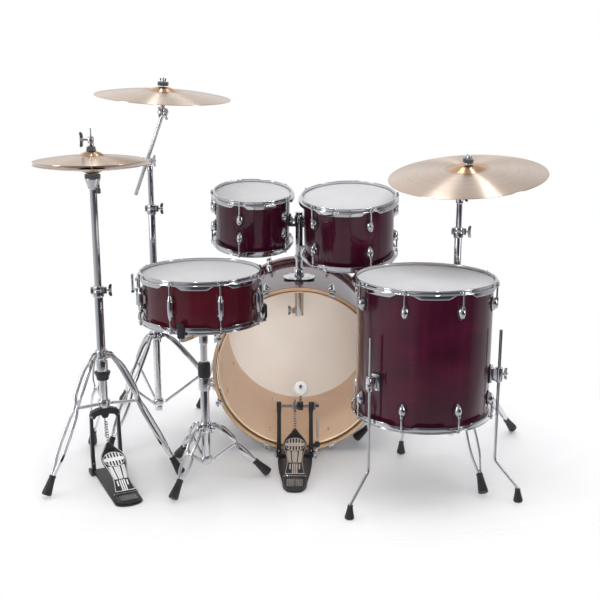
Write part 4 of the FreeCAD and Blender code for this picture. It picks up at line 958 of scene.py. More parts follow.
def tom_mount():
    """The mount plate on the bass drum and the post with its arm block."""
    top = BASS_RADIUS
    plate, seal = Shape(), Shape()
    profile = [(56.0, top + 2.0)]
    for step in range(9):
        part = step / 8
        profile.append((56.0 - 34.0 * part, top + 3.4 + 7.0 * math.sin(part * math.pi / 2)))
    profile += [(19.0, top + 12.0), (19.0, top + 30.0), (17.0, top + 33.6), (13.2, top + 34.0),
                (13.2, top + 2.0)]
    plate.lathe(profile, POST, 72)
    plate.turned([(13.0, 140.0), (16.0, 140.0), (16.0, top - 8.0), (13.0, top - 8.0)], 1.0, POST, 40)
    plate.block((-26, -14), (-9, 9), (148.0, 168.0), 3, POST, 1.5)
    wing_bolt(plate, POST @ Vector((-24, 0, 158)), (-1, 0, 0.0), 10.0, 15.0)
    for angle in (45, 135, 225, 315):
        across = 46.0 * math.cos(math.radians(angle))
        along = 46.0 * math.sin(math.radians(angle))
        plate.rod(POST @ Vector((across, along, top + 3.0)), POST @ Vector((across, along, top + 7.2)), 5.0,
                  4.0, 20)
    plate.piece("mount_plate", CHROME, "kit_base", "chrome", ("tom_mount_receiver",), POST)
    seal.turned([(15.6, top + 0.6), (57.0, top + 0.6), (57.0, top + 2.6), (15.6, top + 2.6)], 0.5, POST, 72)
    seal.piece("mount_seal", RUBBER, "kit_base", None, (), POST)

    post = Shape()
    post.turned([(0, 150), (POST_RADIUS, 150), (POST_RADIUS, ARM_HEIGHT - 20), (16.4, ARM_HEIGHT - 19),
                 (16.4, ARM_HEIGHT + 15), (POST_RADIUS, ARM_HEIGHT + 17), (POST_RADIUS, ARM_HEIGHT + 27),
                 (0, ARM_HEIGHT + 28)], 1.2, POST, 40, closed=False)
    post.turned([(12.8, 346), (16.4, 346), (16.4, 360), (12.8, 360)], 1.2, POST, 40)
    for tom, radius in ((HIGH, 127.0), (MID, 152.4)):
        arm = tom.inverted() @ (POST @ Vector((0, 0, ARM_HEIGHT)))
        at_arm = tom @ move(0, 0, arm.z) @ turn("Z", math.degrees(math.atan2(arm.y, arm.x)))
        distance = math.hypot(arm.x, arm.y)
        post.rod(at_arm @ Vector((distance - 10, 0, 0)), at_arm @ Vector((radius + 2.6, 0, 0)), 6.4)
    wing_bolt(post, POST @ Vector((0, -15.0, ARM_HEIGHT + 3)), (0, -1, 0), 9.0, 14.0)
    wing_bolt(post, POST @ Vector((0, -15.0, 353.0)), (0, -1, 0), 7.0, 12.0)
    post.piece("tom_post_metal", CHROME, "tom_post_body", "chrome", ("tom_post",), POST)


# ---------------------------------------------------------------- stands

FOOT_RADIUS = 15.5
FOOT_TOP = 10.5
FOOT_LENGTH = 62.0


def leg_points(inner, height, reach):
    """Hinge end, rubber's top and rubber's end of a leg in its own XZ plane."""
    lean = math.atan2(reach - inner, height)
    for _ in range(6):
        lean = math.atan2(reach - inner, height - FOOT_RADIUS * math.sin(lean))
    down = Vector((math.sin(lean), 0, -math.cos(lean)))
    end = Vector((reach, 0, FOOT_RADIUS * math.sin(lean)))
    return Vector((inner, 0, height)), end - down * FOOT_LENGTH, end


def braced_leg(shape, hinge, ankle, rivet_at):
    """Two channel bars that part and meet, from the collar to the ankle."""
    along = ankle - hinge
    rise = Vector((-along.z, 0, along.x)).normalized()
    gaps = ((0.0, 4.0), (0.05, 5.0), (0.13, 12.0), (rivet_at - 0.11, 12.8), (rivet_at - 0.03, 7.2),
            (rivet_at + 0.03, 7.2), (rivet_at + 0.11, 13.6), (0.80, 14.4), (0.90, 9.6), (0.975, 4.8),
            (1.05, 4.0))
    section = soften([(-2.6, -6.2), (2.6, -6.2), (2.6, 6.2), (-2.6, 6.2)], 1.4, steps=2)
    for side in (-1, 1):
        path = []
        for part, gap in gaps:
            arch = 13.0 * math.sin(math.pi * part / rivet_at) if part < rivet_at else 0.0
            path.append(hinge + along * part + rise * arch + Vector((0, side * gap, 0)))
        shape.sweep(smooth_path(path, 3), section, None, (0, 1, 0))
    middle = hinge + along * rivet_at
    shape.rod(middle + Vector((0, -11.5, 0)), middle + Vector((0, 11.5, 0)), 4.2, steps=16)
    shape.rod(hinge + Vector((0, -11.0, 0)), hinge + Vector((0, 11.0, 0)), 3.4, steps=16)
    shape.rod(hinge + along * 0.97 + Vector((0, -6.5, 0)), hinge + along * 0.97 + Vector((0, 6.5, 0)), 3.2,
              steps=12)


def smooth_path(path, steps):
    """Catmull-Rom points along a path."""
    spots = [path[0] * 2 - path[1]] + list(path) + [path[-1] * 2 - path[-2]]
    made = []
    for index in range(1, len(spots) - 2):
        a, b, c, d = spots[index - 1:index + 3]
        for step in range(steps):
            t = step / steps
            made.append(0.5 * ((2 * b) + (c - a) * t + (2 * a - 5 * b + 4 * c - d) * t * t
                               + (3 * b - 3 * c + d - a) * t ** 3))
    made.append(Vector(path[-1]))
    return made


def strut_bar(shape, low_point, joint_point):
    """A flat brace with rounded ends between the lower collar and a leg's rivet."""
    start, end = Vector(low_point), Vector(joint_point)
    section = soften([(-3.4, -4.6), (3.4, -4.6), (3.4, 4.6), (-3.4, 4.6)], 1.2, steps=2)
    shape.sweep([start, start + (end - start) * 0.5, end], section, None, (0, 1, 0))
    for spot in (start, end):
        shape.rod(spot + Vector((0, -4.4, 0)), spot + Vector((0, 4.4, 0)), 5.0, steps=18)


def leg_ears(shape, ring, height, turn_to):
    """The cast ears of a collar that hold one leg."""
    place = turn("Z", turn_to)
    for side in (-1, 1):
        outline = [(ring - 3, height - 9), (ring + 10, height - 9), (ring + 15.5, height - 4),
                   (ring + 15.5, height + 4), (ring + 10, height + 9), (ring - 3, height + 9)]
        low = side * 8.3 - 1.4
        shape.slab(soften(outline, 3.0), low, low + 2.8, place @ UPRIGHT, 0.6)


def collar_ring(shape, tube, height, tall):
    """A cast collar on a tube."""
    half = tall / 2
    thick = 6.8
    shape.turned([(tube + 0.2, height - half), (tube + thick - 1.5, height - half),
                  (tube + thick, height - half + 4), (tube + thick, height + half - 4),
                  (tube + thick - 1.5, height + half), (tube + 0.2, height + half)], 1.2, None, 48)


def tripod(name, place, tube, collar, low, rivet_at, reach, first, extra):
    """A stand's fixed double-braced tripod; extra is more metal of the same body."""
    inner = tube + 18.0
    hinge, ankle, end = leg_points(inner, collar, reach)
    rivet = hinge + (ankle - hinge) * rivet_at
    metal, rubber = Shape(), Shape()
    one, foot = Shape(), Shape()
    braced_leg(one, hinge, ankle, rivet_at)
    strut_bar(one, (tube + 13.0, 0, low), rivet)
    leg_ears(one, tube + 7.0, collar, 0.0)
    down = (end - ankle).normalized()
    ribbed_foot(foot, ankle - down * 2, end - down * 0.5, FOOT_TOP, FOOT_RADIUS)
    metal.around(one, 3, first, place)
    rubber.around(foot, 3, first, place)
    rings = Shape()
    collar_ring(rings, tube, collar, 30.0)
    collar_ring(rings, tube, low, 20.0)
    wing_bolt(rings, turn("Z", first + 60) @ Vector((tube + 6, 0, collar + 2)),
              turn("Z", first + 60).to_3x3() @ Vector((1, 0, 0.25)), 13.0, 16.0)
    metal.take(rings, place)
    metal.take(extra, place)
    metal.piece(f"{name}_stand_metal", CHROME, "kit_base", "chrome", (f"{name}_stand_base",), place)
    rubber.piece(f"{name}_stand_feet", RUBBER, "kit_base", None, (), place)


def tube_piece(shape, radius, low, high):
    """An upright tube with a rolled top edge."""
    shape.turned([(0, low), (radius, low), (radius, high), (0, high)], 1.0, None, 40, closed=False)


def tube_clamp(shape, tube, upper, low, tall, way=0.0):
    """A cast clamp at the top of a tube, with its hinge knuckles and wing bolt."""
    shape.turned([(tube + 0.2, low), (tube + 3.0, low), (tube + 3.9, low + 5),
                  (tube + 3.9, low + tall * 0.55), (tube + 2.6, low + tall * 0.60),
                  (tube + 2.6, low + tall * 0.70), (tube + 3.8, low + tall * 0.75),
                  (tube + 3.4, low + tall), (upper + 0.3, low + tall), (upper + 0.3, low + tall * 0.6),
                  (tube + 0.2, low + tall * 0.5)], 0.9, None, 48)
    place = turn("Z", way)
    height = low + tall * 0.62
    shape.block((tube + 2, tube + 13), (-6.5, 6.5), (height - tall * 0.32, height + tall * 0.32), 3, place,
                1.5)
    shape.block((-tube - 11, -tube - 2), (-5.5, 5.5), (height - tall * 0.26, height + tall * 0.26), 3,
                place, 1.5)
    shape.rod(place @ Vector((-tube - 7, 0, height - tall * 0.34)),
              place @ Vector((-tube - 7, 0, height + tall * 0.34)), 3.2, steps=16)
    wing_bolt(shape, place @ Vector((tube + 11, 0, height)), place.to_3x3() @ Vector((1, 0, 0)), 12.0, 17.5)


def cymbal(name, place, radius, bow, bell, rise, body, node, finish):
    """A bowed, belled and lathed cymbal whose rim lies at height zero."""
    thick = 1.5
    over = []
    steps = 26
    for step in range(steps + 1):
        across = radius - (radius - bell) * step / steps
        part = (radius - across) / (radius - bell)
        over.append((across, bow * (1 - (1 - part) ** 1.75)))
    for step in range(1, 13):
        part = step / 12
        across = bell + (6.6 - bell) * part
        lift = math.sin(min(1.0, part * 1.12) * math.pi / 2) ** 1.15
        over.append((across, bow + rise * lift))
    upper = [(across, height + thick) for across, height in over]
    upper[0] = (radius - 0.4, thick * 0.75)
    under = list(reversed(over))
    shape = Shape().lathe(upper + under, None, 180)
    shape.moved(place).piece(name, finish, body, "cymbal_bronze", (node,), place, 28.0)


def felt_pad(shape, place, low, high, radius, bore):
    """A felt washer with soft edges."""
    shape.turned([(bore, low), (radius, low), (radius, high), (bore, high)], min(3.0, (high - low) * 0.4),
                 place, 40)


def wing_nut(shape, place, height):
    """The nut on top of a cymbal's sleeve."""
    shape.turned([(3.2, height), (7.5, height), (6.0, height + 9.0), (3.2, height + 9.0)], 0.8, place, 28)
    wing = soften([(3.0, 0.0), (7.0, 0.6), (11.0, 5.0), (10.6, 11.4), (7.0, 10.6), (3.0, 6.0)], 2.2)
    for flip in (0, 180):
        shape.slab(wing, -1.5, 1.5, place @ move(0, 0, height) @ turn("Z", flip) @ UPRIGHT, 0.6)


# ---------------------------------------------------------------- hi-hat


def hi_hat():
    """The hi-hat stand, cymbals, clutch and pull rod."""
    tube, upper = 13.5, 11.1
    extra = Shape()
    tube_piece(extra, tube, 224.0, 604.0)
    tube_clamp(extra, tube, upper, 592.0, 34.0, 8.0)
    extra.turned([(tube + 0.2, 346), (tube + 4.5, 346), (tube + 4.5, 384), (tube + 0.2, 384)], 1.0, None,
                 48)
    tripod("hihat", HAT_AT, tube, 403.0, 241.0, 0.44, 250.0, -127.0, extra)
    lock = Shape().turned([(tube + 0.3, 319), (19.0, 319), (21.0, 330), (26.0, 343), (25.0, 346),
                           (tube + 0.3, 346)], 1.2, HAT_AT, 48)
    lock.piece("hihat_black_cup", RUBBER, "kit_base", None, (), HAT_AT)

    metal, felts = Shape(), Shape()
    metal.turned([(0, 470), (upper, 470), (upper, 932), (15.0, 934), (17.0, 944), (23.0, 960), (24.2, 963),
                  (24.2, 966), (4.4, 966)], 0.9, HAT_AT, 40, closed=False)
    metal.rod(HAT_AT @ Vector((17.5, -8, 936.0)), HAT_AT @ Vector((17.5, -8, 962.0)), 5.2, soft=1.0)
    felts.rod(HAT_AT @ Vector((17.5, -8, 920.0)), HAT_AT @ Vector((17.5, -8, 936.0)), 7.0, soft=1.4)
    felt_pad(felts, HAT_AT, 966.4, 979.0, 24.5, 4.6)
    metal.piece("hihat_tube_metal", CHROME, "hihat_upper", "chrome", ("hihat_upper_tube",), HAT_AT)
    felts.piece("hihat_seat_felt", FELT, "hihat_upper", None, (), HAT_AT)

    flipped = HAT_AT @ move(0, 0, 1010.0) @ turn("X", 180)
    cymbal("hihat_lower_bronze", flipped, 177.8, 15.0, 42.0, 13.0, "hihat_upper",
           "hihat_bottom_cymbal", SMALL_BRONZE)
    cymbal("hihat_upper_bronze", HAT_AT @ move(0, 0, 1019.0), 177.8, 15.0, 42.0, 13.0, "hihat_pull",
           "hihat_top_cymbal", SMALL_BRONZE)

    top = 1019.0 + 28.0 + 1.6
    rod = Shape().rod((0, 0, 122), (0, 0, 1118), 3.2, steps=18)
    clutch = Shape()
    clutch.turned([(3.4, top - 14), (5.6, top - 14), (5.6, top + 14), (9.4, top + 15), (9.4, top + 24),
                   (7.4, top + 26), (7.4, top + 44), (3.4, top + 46)], 0.8, None, 32)
    clutch.turned([(5.8, top - 12), (12, top - 12), (12, top - 3), (5.8, top - 3)], 1.0, None, 32)
    clutch.turned([(3.4, top + 24), (8.0, top + 25), (10.2, top + 32), (10.2, top + 37), (8.0, top + 43),
                   (3.4, top + 45)], 2.5, None, 32)
    wing_bolt(clutch, (-8, 0, top + 34.5), (-1, 0, 0), 20.0, 20.5)
    metal = Shape()
    for part in (rod, clutch):
        metal.take(part, HAT_AT)
    metal.piece("hihat_rod_metal", CHROME, "hihat_pull", "chrome", ("hihat_pull_rod",), HAT_AT)
    pads = Shape()
    felt_pad(pads, HAT_AT, top + 0.4, top + 6.8, 15.5, 5.8)
    felt_pad(pads, HAT_AT, top + 7.2, top + 13.6, 14.0, 5.8)
    pads.piece("hihat_clutch_felts", FELT, "hihat_pull", None, (), HAT_AT)


def board_edge(width, length, toe):
    """Half the outline of a footboard, heel to toe: flared, waisted, broad under the ball of the foot."""
    half = ((width * 0.430, 4.0), (width * 0.395, length * 0.10), (width * 0.338, length * 0.28),
            (width * 0.375, length * 0.44), (width * 0.475, length * 0.60), (width * 0.498, length * 0.70),
            (width * 0.455, length * 0.80), (width * 0.27, length * 0.93), (toe, length))
    path = smooth_path([Vector((across, along, 0)) for across, along in half], 5)
    return [(spot.x, spot.y) for spot in path]


def inset(edge, by):
    """The same half outline moved inwards."""
    made = []
    for index, (across, along) in enumerate(edge):
        before = Vector(edge[max(index - 1, 0)])
        after = Vector(edge[min(index + 1, len(edge) - 1)])
        way = (after - before).normalized()
        made.append((max(1.5, across - way.y * by), along + way.x * by))
    return made


def footboard(prefix, place, length, body, node, trim_finish):
    """A black footboard with a raised edge, a barred oval, fanned panels and heel bars; unlettered."""
    width, thick = 78.0, 5.0
    edge = board_edge(width, length, 12.0)
    outline = edge + [(-across, along) for across, along in reversed(edge)]
    board = Shape().slab(outline, 0.0, thick, place, 1.2)
    board.piece(f"{prefix}_board", BLACK, body, "black_metal", (node,), place)

    trim = Shape()
    top = place @ move(0, 0, thick)
    low, high = -0.4, 0.9
    line = soften([(-2.0, low), (2.0, low), (1.6, high), (-1.6, high)], 0.3, steps=1)
    border = [spot for spot in inset(edge, 2.6) if spot[1] < length * 0.975]
    border = [(across, max(along, 6.5)) for across, along in border]
    around_edge = [(-across, along, 0) for across, along in border] + [(across, along, 0)
                                                                       for across, along in reversed(border)]
    trim.sweep(around_edge[::-1], line, top, (0, 0, 1), looped=True)

    centre = length * 0.685
    along_half, across_half = length * 0.145, width * 0.415
    ring = [(x, y, 0) for x, y in oval(across_half, along_half, 48, (0, centre))]
    trim.sweep(ring, line, top, (0, 0, 1), looped=True)
    band = length * 0.036
    trim.slab(soften([(-across_half + 1, centre - band), (across_half - 1, centre - band),
                      (across_half - 1, centre + band), (-across_half + 1, centre + band)], 6.0), low, high,
              top, 0.3)
    for column in range(-2, 3):
        across = column * width * 0.125
        far = along_half * math.sqrt(1 - (across / across_half) ** 2)
        for sign in (-1, 1):
            ends = sorted((centre + sign * band, centre + sign * far))
            trim.block((across - 2.2, across + 2.2), (ends[0], ends[1]), (low, high), 0.8, top, 0.3)

    heel, mid, fan_top = 12.0, length * 0.255, length * 0.525
    for column in range(-1, 2):
        near_half = width * (0.068 if column else 0.085)
        far_half = width * (0.075 if column else 0.130)
        near = column * width * 0.195
        far = column * width * 0.265
        sag = length * 0.02 * abs(column)
        stripes = 4
        for stripe in range(stripes):
            left = -1 + 2 * stripe / stripes
            right = left + 2 / stripes * 0.80
            trim.slab([(near + near_half * left, mid + 4), (near + near_half * right, mid + 4),
                       (far + far_half * right, fan_top + sag), (far + far_half * left, fan_top + sag)],
                      low, high, top, 0.25)
    for column in range(-1, 2):
        across = column * width * 0.085
        trim.block((across - 1.9, across + 1.9), (heel - 4, mid - 1), (low, high), 0.8, top, 0.3)
    for sign in (-1, 1):
        trim.block((sign * width * 0.195 - 2.0, sign * width * 0.195 + 2.0), (mid - 26, mid - 3),
                   (low, high), 1.8, top, 0.3)
    trim.piece(f"{prefix}_trim", trim_finish, body, "black_metal", (), place)


def chain(shape, start, end, links):
    """A roller chain seen from the front."""
    start, end = Vector(start), Vector(end)
    step = (end - start) / links
    way = step.normalized()
    for index in range(links):
        centre = start + step * (index + 0.5)
        wide = 3.6 if index % 2 else 2.7
        for sign in (-1, 1):
            at = align(centre + Vector((sign * wide, 0, 0)), centre + Vector((sign * wide + sign, 0, 0)), way)
            shape.slab(oval(step.length * 0.72, 3.0, 16), -0.5, 0.5, at, 0.2)
        spot = start + step * index
        shape.rod(spot - Vector((4.6, 0, 0)), spot + Vector((4.6, 0, 0)), 1.9, steps=12)


def heel_pad(shape, outline_half, low, high, count):
    """Small raised studs over a heel plate."""
    for row in range(count):
        along = low + (high - low) * (row + 0.5) / count
        for column in range(-4, 5):
            across = column * outline_half / 5.2
            shape.block((across - 2.0, across + 2.0), (along - 1.5, along + 1.5), (-0.3, 0.9), 0.5, None,
                        0.3)


def round_heel(half, low, high, narrow):
    """The outline of a pedal's sole: round at the heel."""
    made = [(narrow, high), (narrow, high - 30)]
    for step in range(13):
        angle = -math.pi * step / 12
        made.append((half * math.cos(angle), low + half * 0.62 + half * 0.62 * math.sin(angle)))
    made += [(-narrow, high - 30), (-narrow, high)]
    return made[::-1]


def hi_hat_pedal():
    """Yoke, posts, sole, heel plate, chain and footboard of the hi-hat pedal."""
    place = HAT_PEDAL
    frame_metal = Shape()
    yoke = [(-50, 196), (-44, 214), (-22, 222.5), (22, 222.5), (44, 214), (50, 196), (38, 190), (32, 200),
            (14, 204), (8, 190), (-8, 190), (-14, 204), (-32, 200), (-38, 190)]
    upright = place @ UPRIGHT
    frame_metal.slab(soften(yoke, 3.5), -12.0, 12.0, upright, 2.5)
    for sign in (-1, 1):
        outline = [(sign * 38, 12), (sign * 50, 12), (sign * 52, 60), (sign * 48.5, 196), (sign * 39.5, 196),
                   (sign * 40, 60)]
        if sign < 0:
            outline.reverse()
        frame_metal.slab(soften(outline, 3.0), -8.5, 8.5, upright, 2.0)
        frame_metal.block((sign * 51.2 - 6.8, sign * 51.2 + 6.8), (-22, 22), (0.6, 13.0), 4, place, 1.5)
    frame_metal.slab(soften(round_heel(43.5, -288.5, 22, 43.5), 1.0), 0.4, 5.6, place, 1.2)
    frame_metal.slab(soften(round_heel(37.0, -285.0, -238, 35.0), 1.0), 5.2, 19.0, place, 2.5)
    frame_metal.piece("hihat_pedal_black", BLACK, "kit_base", "black_metal", ("hihat_pedal_frame",), place)

    bright = Shape()
    for sign in (-1, 1):
        bright.rod(place @ Vector((sign * 44.5, -9.6, 200)), place @ Vector((sign * 44.5, -14.5, 200)), 4.0,
                   steps=18)
        bright.rod(place @ Vector((sign * 44.5, -9.6, 40)), place @ Vector((sign * 44.5, -13.0, 40)), 3.5,
                   steps=18)
    bright.rod(place @ Vector((-37.5, -232, 20.5)), place @ Vector((37.5, -232, 20.5)), 2.8, steps=16)
    studs = Shape()
    heel_pad(studs, 30.0, -280.0, -243.0, 6)
    bright.take(studs, place @ move(0, 0, 19.0))
    bright.piece("hihat_pedal_bright", STEEL, "kit_base", "steel_wire", (), place)

    links = Shape()
    chain(links, (0, -14, 178), (0, -30, 112), 8)
    links.moved(place).piece("hihat_pull_chain", STEEL, "hihat_footboard_body", "steel_wire", (), place)
    hinge = place @ move(0, -232, 20) @ turn("X", 22.0)
    footboard("hihat_footboard", hinge, 216.0, "hihat_footboard_body", "hihat_footboard", PALE_TRIM)
    toe = Shape()
    toe.slab(soften([(-16, 192), (16, 192), (8, 222), (-8, 222)], 4.0), 4.6, 11.0, hinge, 2.0)
    toe.piece("hihat_toe_clamp", BLACK, "hihat_footboard_body", "black_metal", (), hinge)


# ---------------------------------------------------------------- crash stand

CRASH_INNER = 31.0
CRASH_COLLAR = 356.0
CRASH_LOW = 99.0
CRASH_REACH = 325.0
CRASH_ANGLES = (4.7, 124.7, -115.3)
BOOM_SIDE = Vector((0.5, 0.866, 0.0))
BOOM_PIVOT = Vector((CRASH[0], CRASH[1], 980.0)) - BOOM_SIDE * 17.0
BOOM_TOP = Vector((-449.0, 187.0, 1152.0))


def crash_stand():
    """The folding crash stand and its cymbal."""
    tube, upper = 12.5, 9.5
    base = Shape()
    tube_piece(base, tube, 72.0, 808.0)
    tube_clamp(base, tube, upper, 794.0, 34.0, 0.0)
    collar_ring(base, tube, CRASH_LOW, 20.0)
    base.turned([(0, 66), (tube + 1.4, 66), (tube + 1.4, 82), (tube, 84)], 1.0, None, 40, closed=False)
    base.moved(CRASH_AT).piece("crash_tube_metal", CHROME, "kit_base", "chrome", ("crash_base_tube",),
                               CRASH_AT)

    ring = Shape()
    collar_ring(ring, tube, CRASH_COLLAR, 30.0)
    for angle in CRASH_ANGLES:
        leg_ears(ring, tube + 7.0, CRASH_COLLAR, angle)
    wing_bolt(ring, turn("Z", -55) @ Vector((tube + 6, 0, CRASH_COLLAR - 2)),
              turn("Z", -55).to_3x3() @ Vector((1, 0, -0.2)), 13.0, 16.0)
    ring.moved(CRASH_AT).piece("crash_collar_metal", CHROME, "crash_leg_collar_body", "chrome",
                               ("crash_leg_collar",), CRASH_AT)

    hinge, ankle, end = leg_points(CRASH_INNER, CRASH_COLLAR, CRASH_REACH)
    rivet = hinge + (ankle - hinge) * 0.52
    down = (end - ankle).normalized()
    for index, angle in enumerate(CRASH_ANGLES, start=1):
        place = CRASH_AT @ turn("Z", angle)
        leg, foot, brace = Shape(), Shape(), Shape()
        braced_leg(leg, hinge, ankle, 0.52)
        ribbed_foot(foot, ankle - down * 2, end - down * 0.5, FOOT_TOP, FOOT_RADIUS)
        strut_bar(brace, (tube + 15.0, 0, CRASH_LOW), rivet)
        leg.moved(place).piece(f"crash_leg_metal_{index}", CHROME, f"crash_leg_{index}_body", "chrome",
                               (f"crash_leg_{index}",), place)
        foot.moved(place).piece(f"crash_leg_foot_{index}", RUBBER, f"crash_leg_{index}_body", None, (), place)
        brace.moved(place).piece(f"crash_strut_metal_{index}", CHROME, f"crash_strut_{index}_body",
                                 "chrome", (f"crash_strut_{index}",), place)

    column = Shape()
    column.turned([(0, 560), (upper, 560), (upper, 944), (10.4, 946), (10.4, 958), (9.8, 965.8),
                   (0, 965.8)], 1.0, CRASH_AT, 36, closed=False)
    column.piece("crash_column_metal", CHROME, "crash_upper_tube_body", "chrome", ("crash_upper_tube",),
                 CRASH_AT)

    boom = Shape()
    way = (BOOM_TOP - BOOM_PIVOT).normalized()
    boom.rod(BOOM_PIVOT - way * 130, BOOM_TOP, 6.3, steps=28)
    knuckle = align(BOOM_PIVOT - BOOM_SIDE * 10, BOOM_PIVOT + BOOM_SIDE * 30)
    boom.turned([(0, 0), (12.5, 0), (12.5, 20), (10.5, 21), (10.5, 23), (12.5, 24), (12.5, 40), (0, 40)],
                1.0, knuckle, 36, closed=False)
    wing_bolt(boom, BOOM_PIVOT + BOOM_SIDE * 28, BOOM_SIDE, 13.0, 18.0)
    wing_bolt(boom, BOOM_PIVOT - BOOM_SIDE * 9, Vector((-0.8, -0.6, 0.1)), 16.0, 17.0)
    boom.turned([(0, -12), (12.5, -12), (12.5, -2), (10.0, -1), (10.0, 1), (12.5, 2), (12.5, 12), (0, 12)],
                0.9, align(BOOM_TOP, BOOM_TOP + BOOM_SIDE), 32, closed=False)
    wing_bolt(boom, BOOM_TOP - way * 18 + Vector((5, -6, 0)), (0.7, -0.6, 0.4), 12.0, 15.0)
    wing_bolt(boom, BOOM_TOP - BOOM_SIDE * 10, BOOM_SIDE * -1, 11.0, 15.0)
    sleeve = soften([(0, -48), (7.5, -46), (7.5, 6), (12.0, 8), (12.0, 11), (4.0, 12), (4.0, 64), (0, 64)],
                    0.8, closed=False)
    boom.lathe(sleeve, CRASH_TILT, 28, closed=False)
    wing_nut(boom, CRASH_TILT, 51.0)
    boom.piece("crash_boom_metal", CHROME, "crash_boom_body", "chrome", ("crash_boom",))
    pads = Shape()
    felt_pad(pads, CRASH_TILT, 13.0, 28.0, 18.5, 4.2)
    felt_pad(pads, CRASH_TILT, 37.5, 50.5, 18.5, 4.2)
    pads.piece("crash_felts", FELT, "crash_boom_body", None, (), CRASH_TILT)
    cymbal("crash_bronze", CRASH_TILT, 228.6, 20.0, 50.0, 12.0, "crash_cymbal_body", "crash_cymbal", BRONZE)


def ride_stand():
    """The ride stand and its cymbal."""
    tube, upper = 12.0, 9.5
    extra = Shape()
    tube_piece(extra, tube, 72.0, 770.0)
    tube_clamp(extra, tube, upper, 756.0, 34.0, -12.0)
    tripod("ride", RIDE_AT, tube, 340.0, 99.0, 0.5, 340.0, -81.0, extra)
    body = "ride_upper_tube_body"
    metal = Shape()
    metal.turned([(0, 520), (upper, 520), (upper, 868), (12.0, 870), (12.0, 886), (0, 888)], 1.0, RIDE_AT,
                 36, closed=False)
    knuckle = RIDE_AT @ Vector((0, 0, 888))
    hole = RIDE_TILT @ Vector((0, 0, 36))
    metal.rod(knuckle - Vector((13, 0, 0)), knuckle + Vector((13, 0, 0)), 12.0, soft=2.0)
    sleeve = align(hole, hole * 2 - knuckle)
    metal.turned([(0, -(hole - knuckle).length), (8.0, -96), (8.0, -30), (12.0, -27), (12.0, -21),
                  (4.0, -20), (4.0, 27), (0, 27)], 0.8, sleeve, 28, closed=False)
    wing_nut(metal, sleeve, 21.4)
    wing_bolt(metal, knuckle + Vector((12, 0, 0)), (1, 0, 0), 9.0, 12.0)
    metal.piece("ride_column_metal", CHROME, body, "chrome", ("ride_upper_tube",), RIDE_AT)
    pads = Shape()
    felt_pad(pads, sleeve, -19.6, -7.0, 16.5, 4.2)
    felt_pad(pads, sleeve, 7.4, 21.0, 17.5, 4.2)
    pads.piece("ride_felts", FELT, body, None, (), RIDE_TILT)
    cymbal("ride_bronze", RIDE_TILT, 254.0, 22.0, 60.0, 13.0, "ride_cymbal_body", "ride_cymbal", BRONZE)


# ---------------------------------------------------------------- snare drum and stand


def snare():
    """The snare drum with its wires, strainer and butt plate."""
    radius = 177.8
    body = "snare_cradle"
    metal, gaskets = drum("snare", body, SNARE_AT, radius, 139.7, 8, 22.5, BURGUNDY, "burgundy_lacquer", True)
    metal.piece("snare_lugs_and_rods", CHROME, body, "chrome", ("snare_lugs",), SNARE_AT)

    bottom = -149.3
    strainer = Shape()
    for index in range(20):
        along = -31.0 + 62.0 * index / 19
        coil = []
        for step in range(121):
            across = -146.0 + 292.0 * step / 120
            phase = step * math.pi / 2
            coil.append(Vector((across, along + 0.8 * math.cos(phase), bottom - 2.0 + 0.8 * math.sin(phase))))
        strainer.tube(coil, 0.45, SNARE_AT, 5, side=(0, 1, 0))
    for sign in (-1, 1):
        strainer.block((sign * 153 - 8, sign * 153 + 8), (-35, 35), (bottom - 3.6, bottom - 1.0), 3,
                       SNARE_AT, 0.5)
    strainer.block((-12, 12), (-30, 30), (0.0, 9.0), 5,
                   SNARE_AT @ outward(-radius - LUG_GAP, -85, (0, 1, 0)), 2.0)
    strainer.block((-radius - 22, -radius - 10), (-9, 9), (-112.0, -58.0), 4, SNARE_AT, 2.5)
    strainer.rod(SNARE_AT @ Vector((-radius - 17, 0, -56)), SNARE_AT @ Vector((-radius - 17, 0, -28)), 2.6)
    strainer.rod(SNARE_AT @ Vector((-radius - 17, 0, -36)), SNARE_AT @ Vector((-radius - 17, 0, -26)), 6.5,
                 soft=1.5)
    strainer.block((-10, 10), (-22, 22), (0.0, 10.0), 4,
                   SNARE_AT @ outward(radius + LUG_GAP, -95, (0, 1, 0)), 2.0)
    strainer.piece("snare_wires_and_strainer_metal", CHROME, body, "steel_wire",
                   ("snare_wires_and_strainer",), SNARE_AT)
    for sign, height, half in ((-1, -85, 31.5), (1, -95, 23.5)):
        gaskets.block((-13, 13), (-half, half), (0.0, 1.4), 5,
                      SNARE_AT @ outward(sign * (radius + GASKET_GAP), height, (0, 1, 0)), 0.4)
    gaskets.piece("snare_gaskets", RUBBER, body, None, (), SNARE_AT)

    lever = Shape()
    pivot = Vector((-radius - 30, 0, -66))
    lever.rod(SNARE_AT @ (pivot + Vector((0, -17, 0))), SNARE_AT @ (pivot + Vector((0, 17, 0))), 5.0)
    handle = soften([(-6.5, 0), (6.5, 0), (7.5, 30), (9.5, 52), (-9.5, 52), (-7.5, 30)], 3.5)
    lever.slab(handle, -35.0, -29.0,
               SNARE_AT @ Matrix(((0, 0, 1, -radius), (1, 0, 0, 0), (0, 1, 0, -66), (0, 0, 0, 1))), 1.6)
    lever.piece("snare_lever_metal", CHROME, "snare_throw_off_body", "chrome", ("snare_throw_off",), SNARE_AT)


GRIP_ANGLES = (-102.0, 14.0, 138.0)


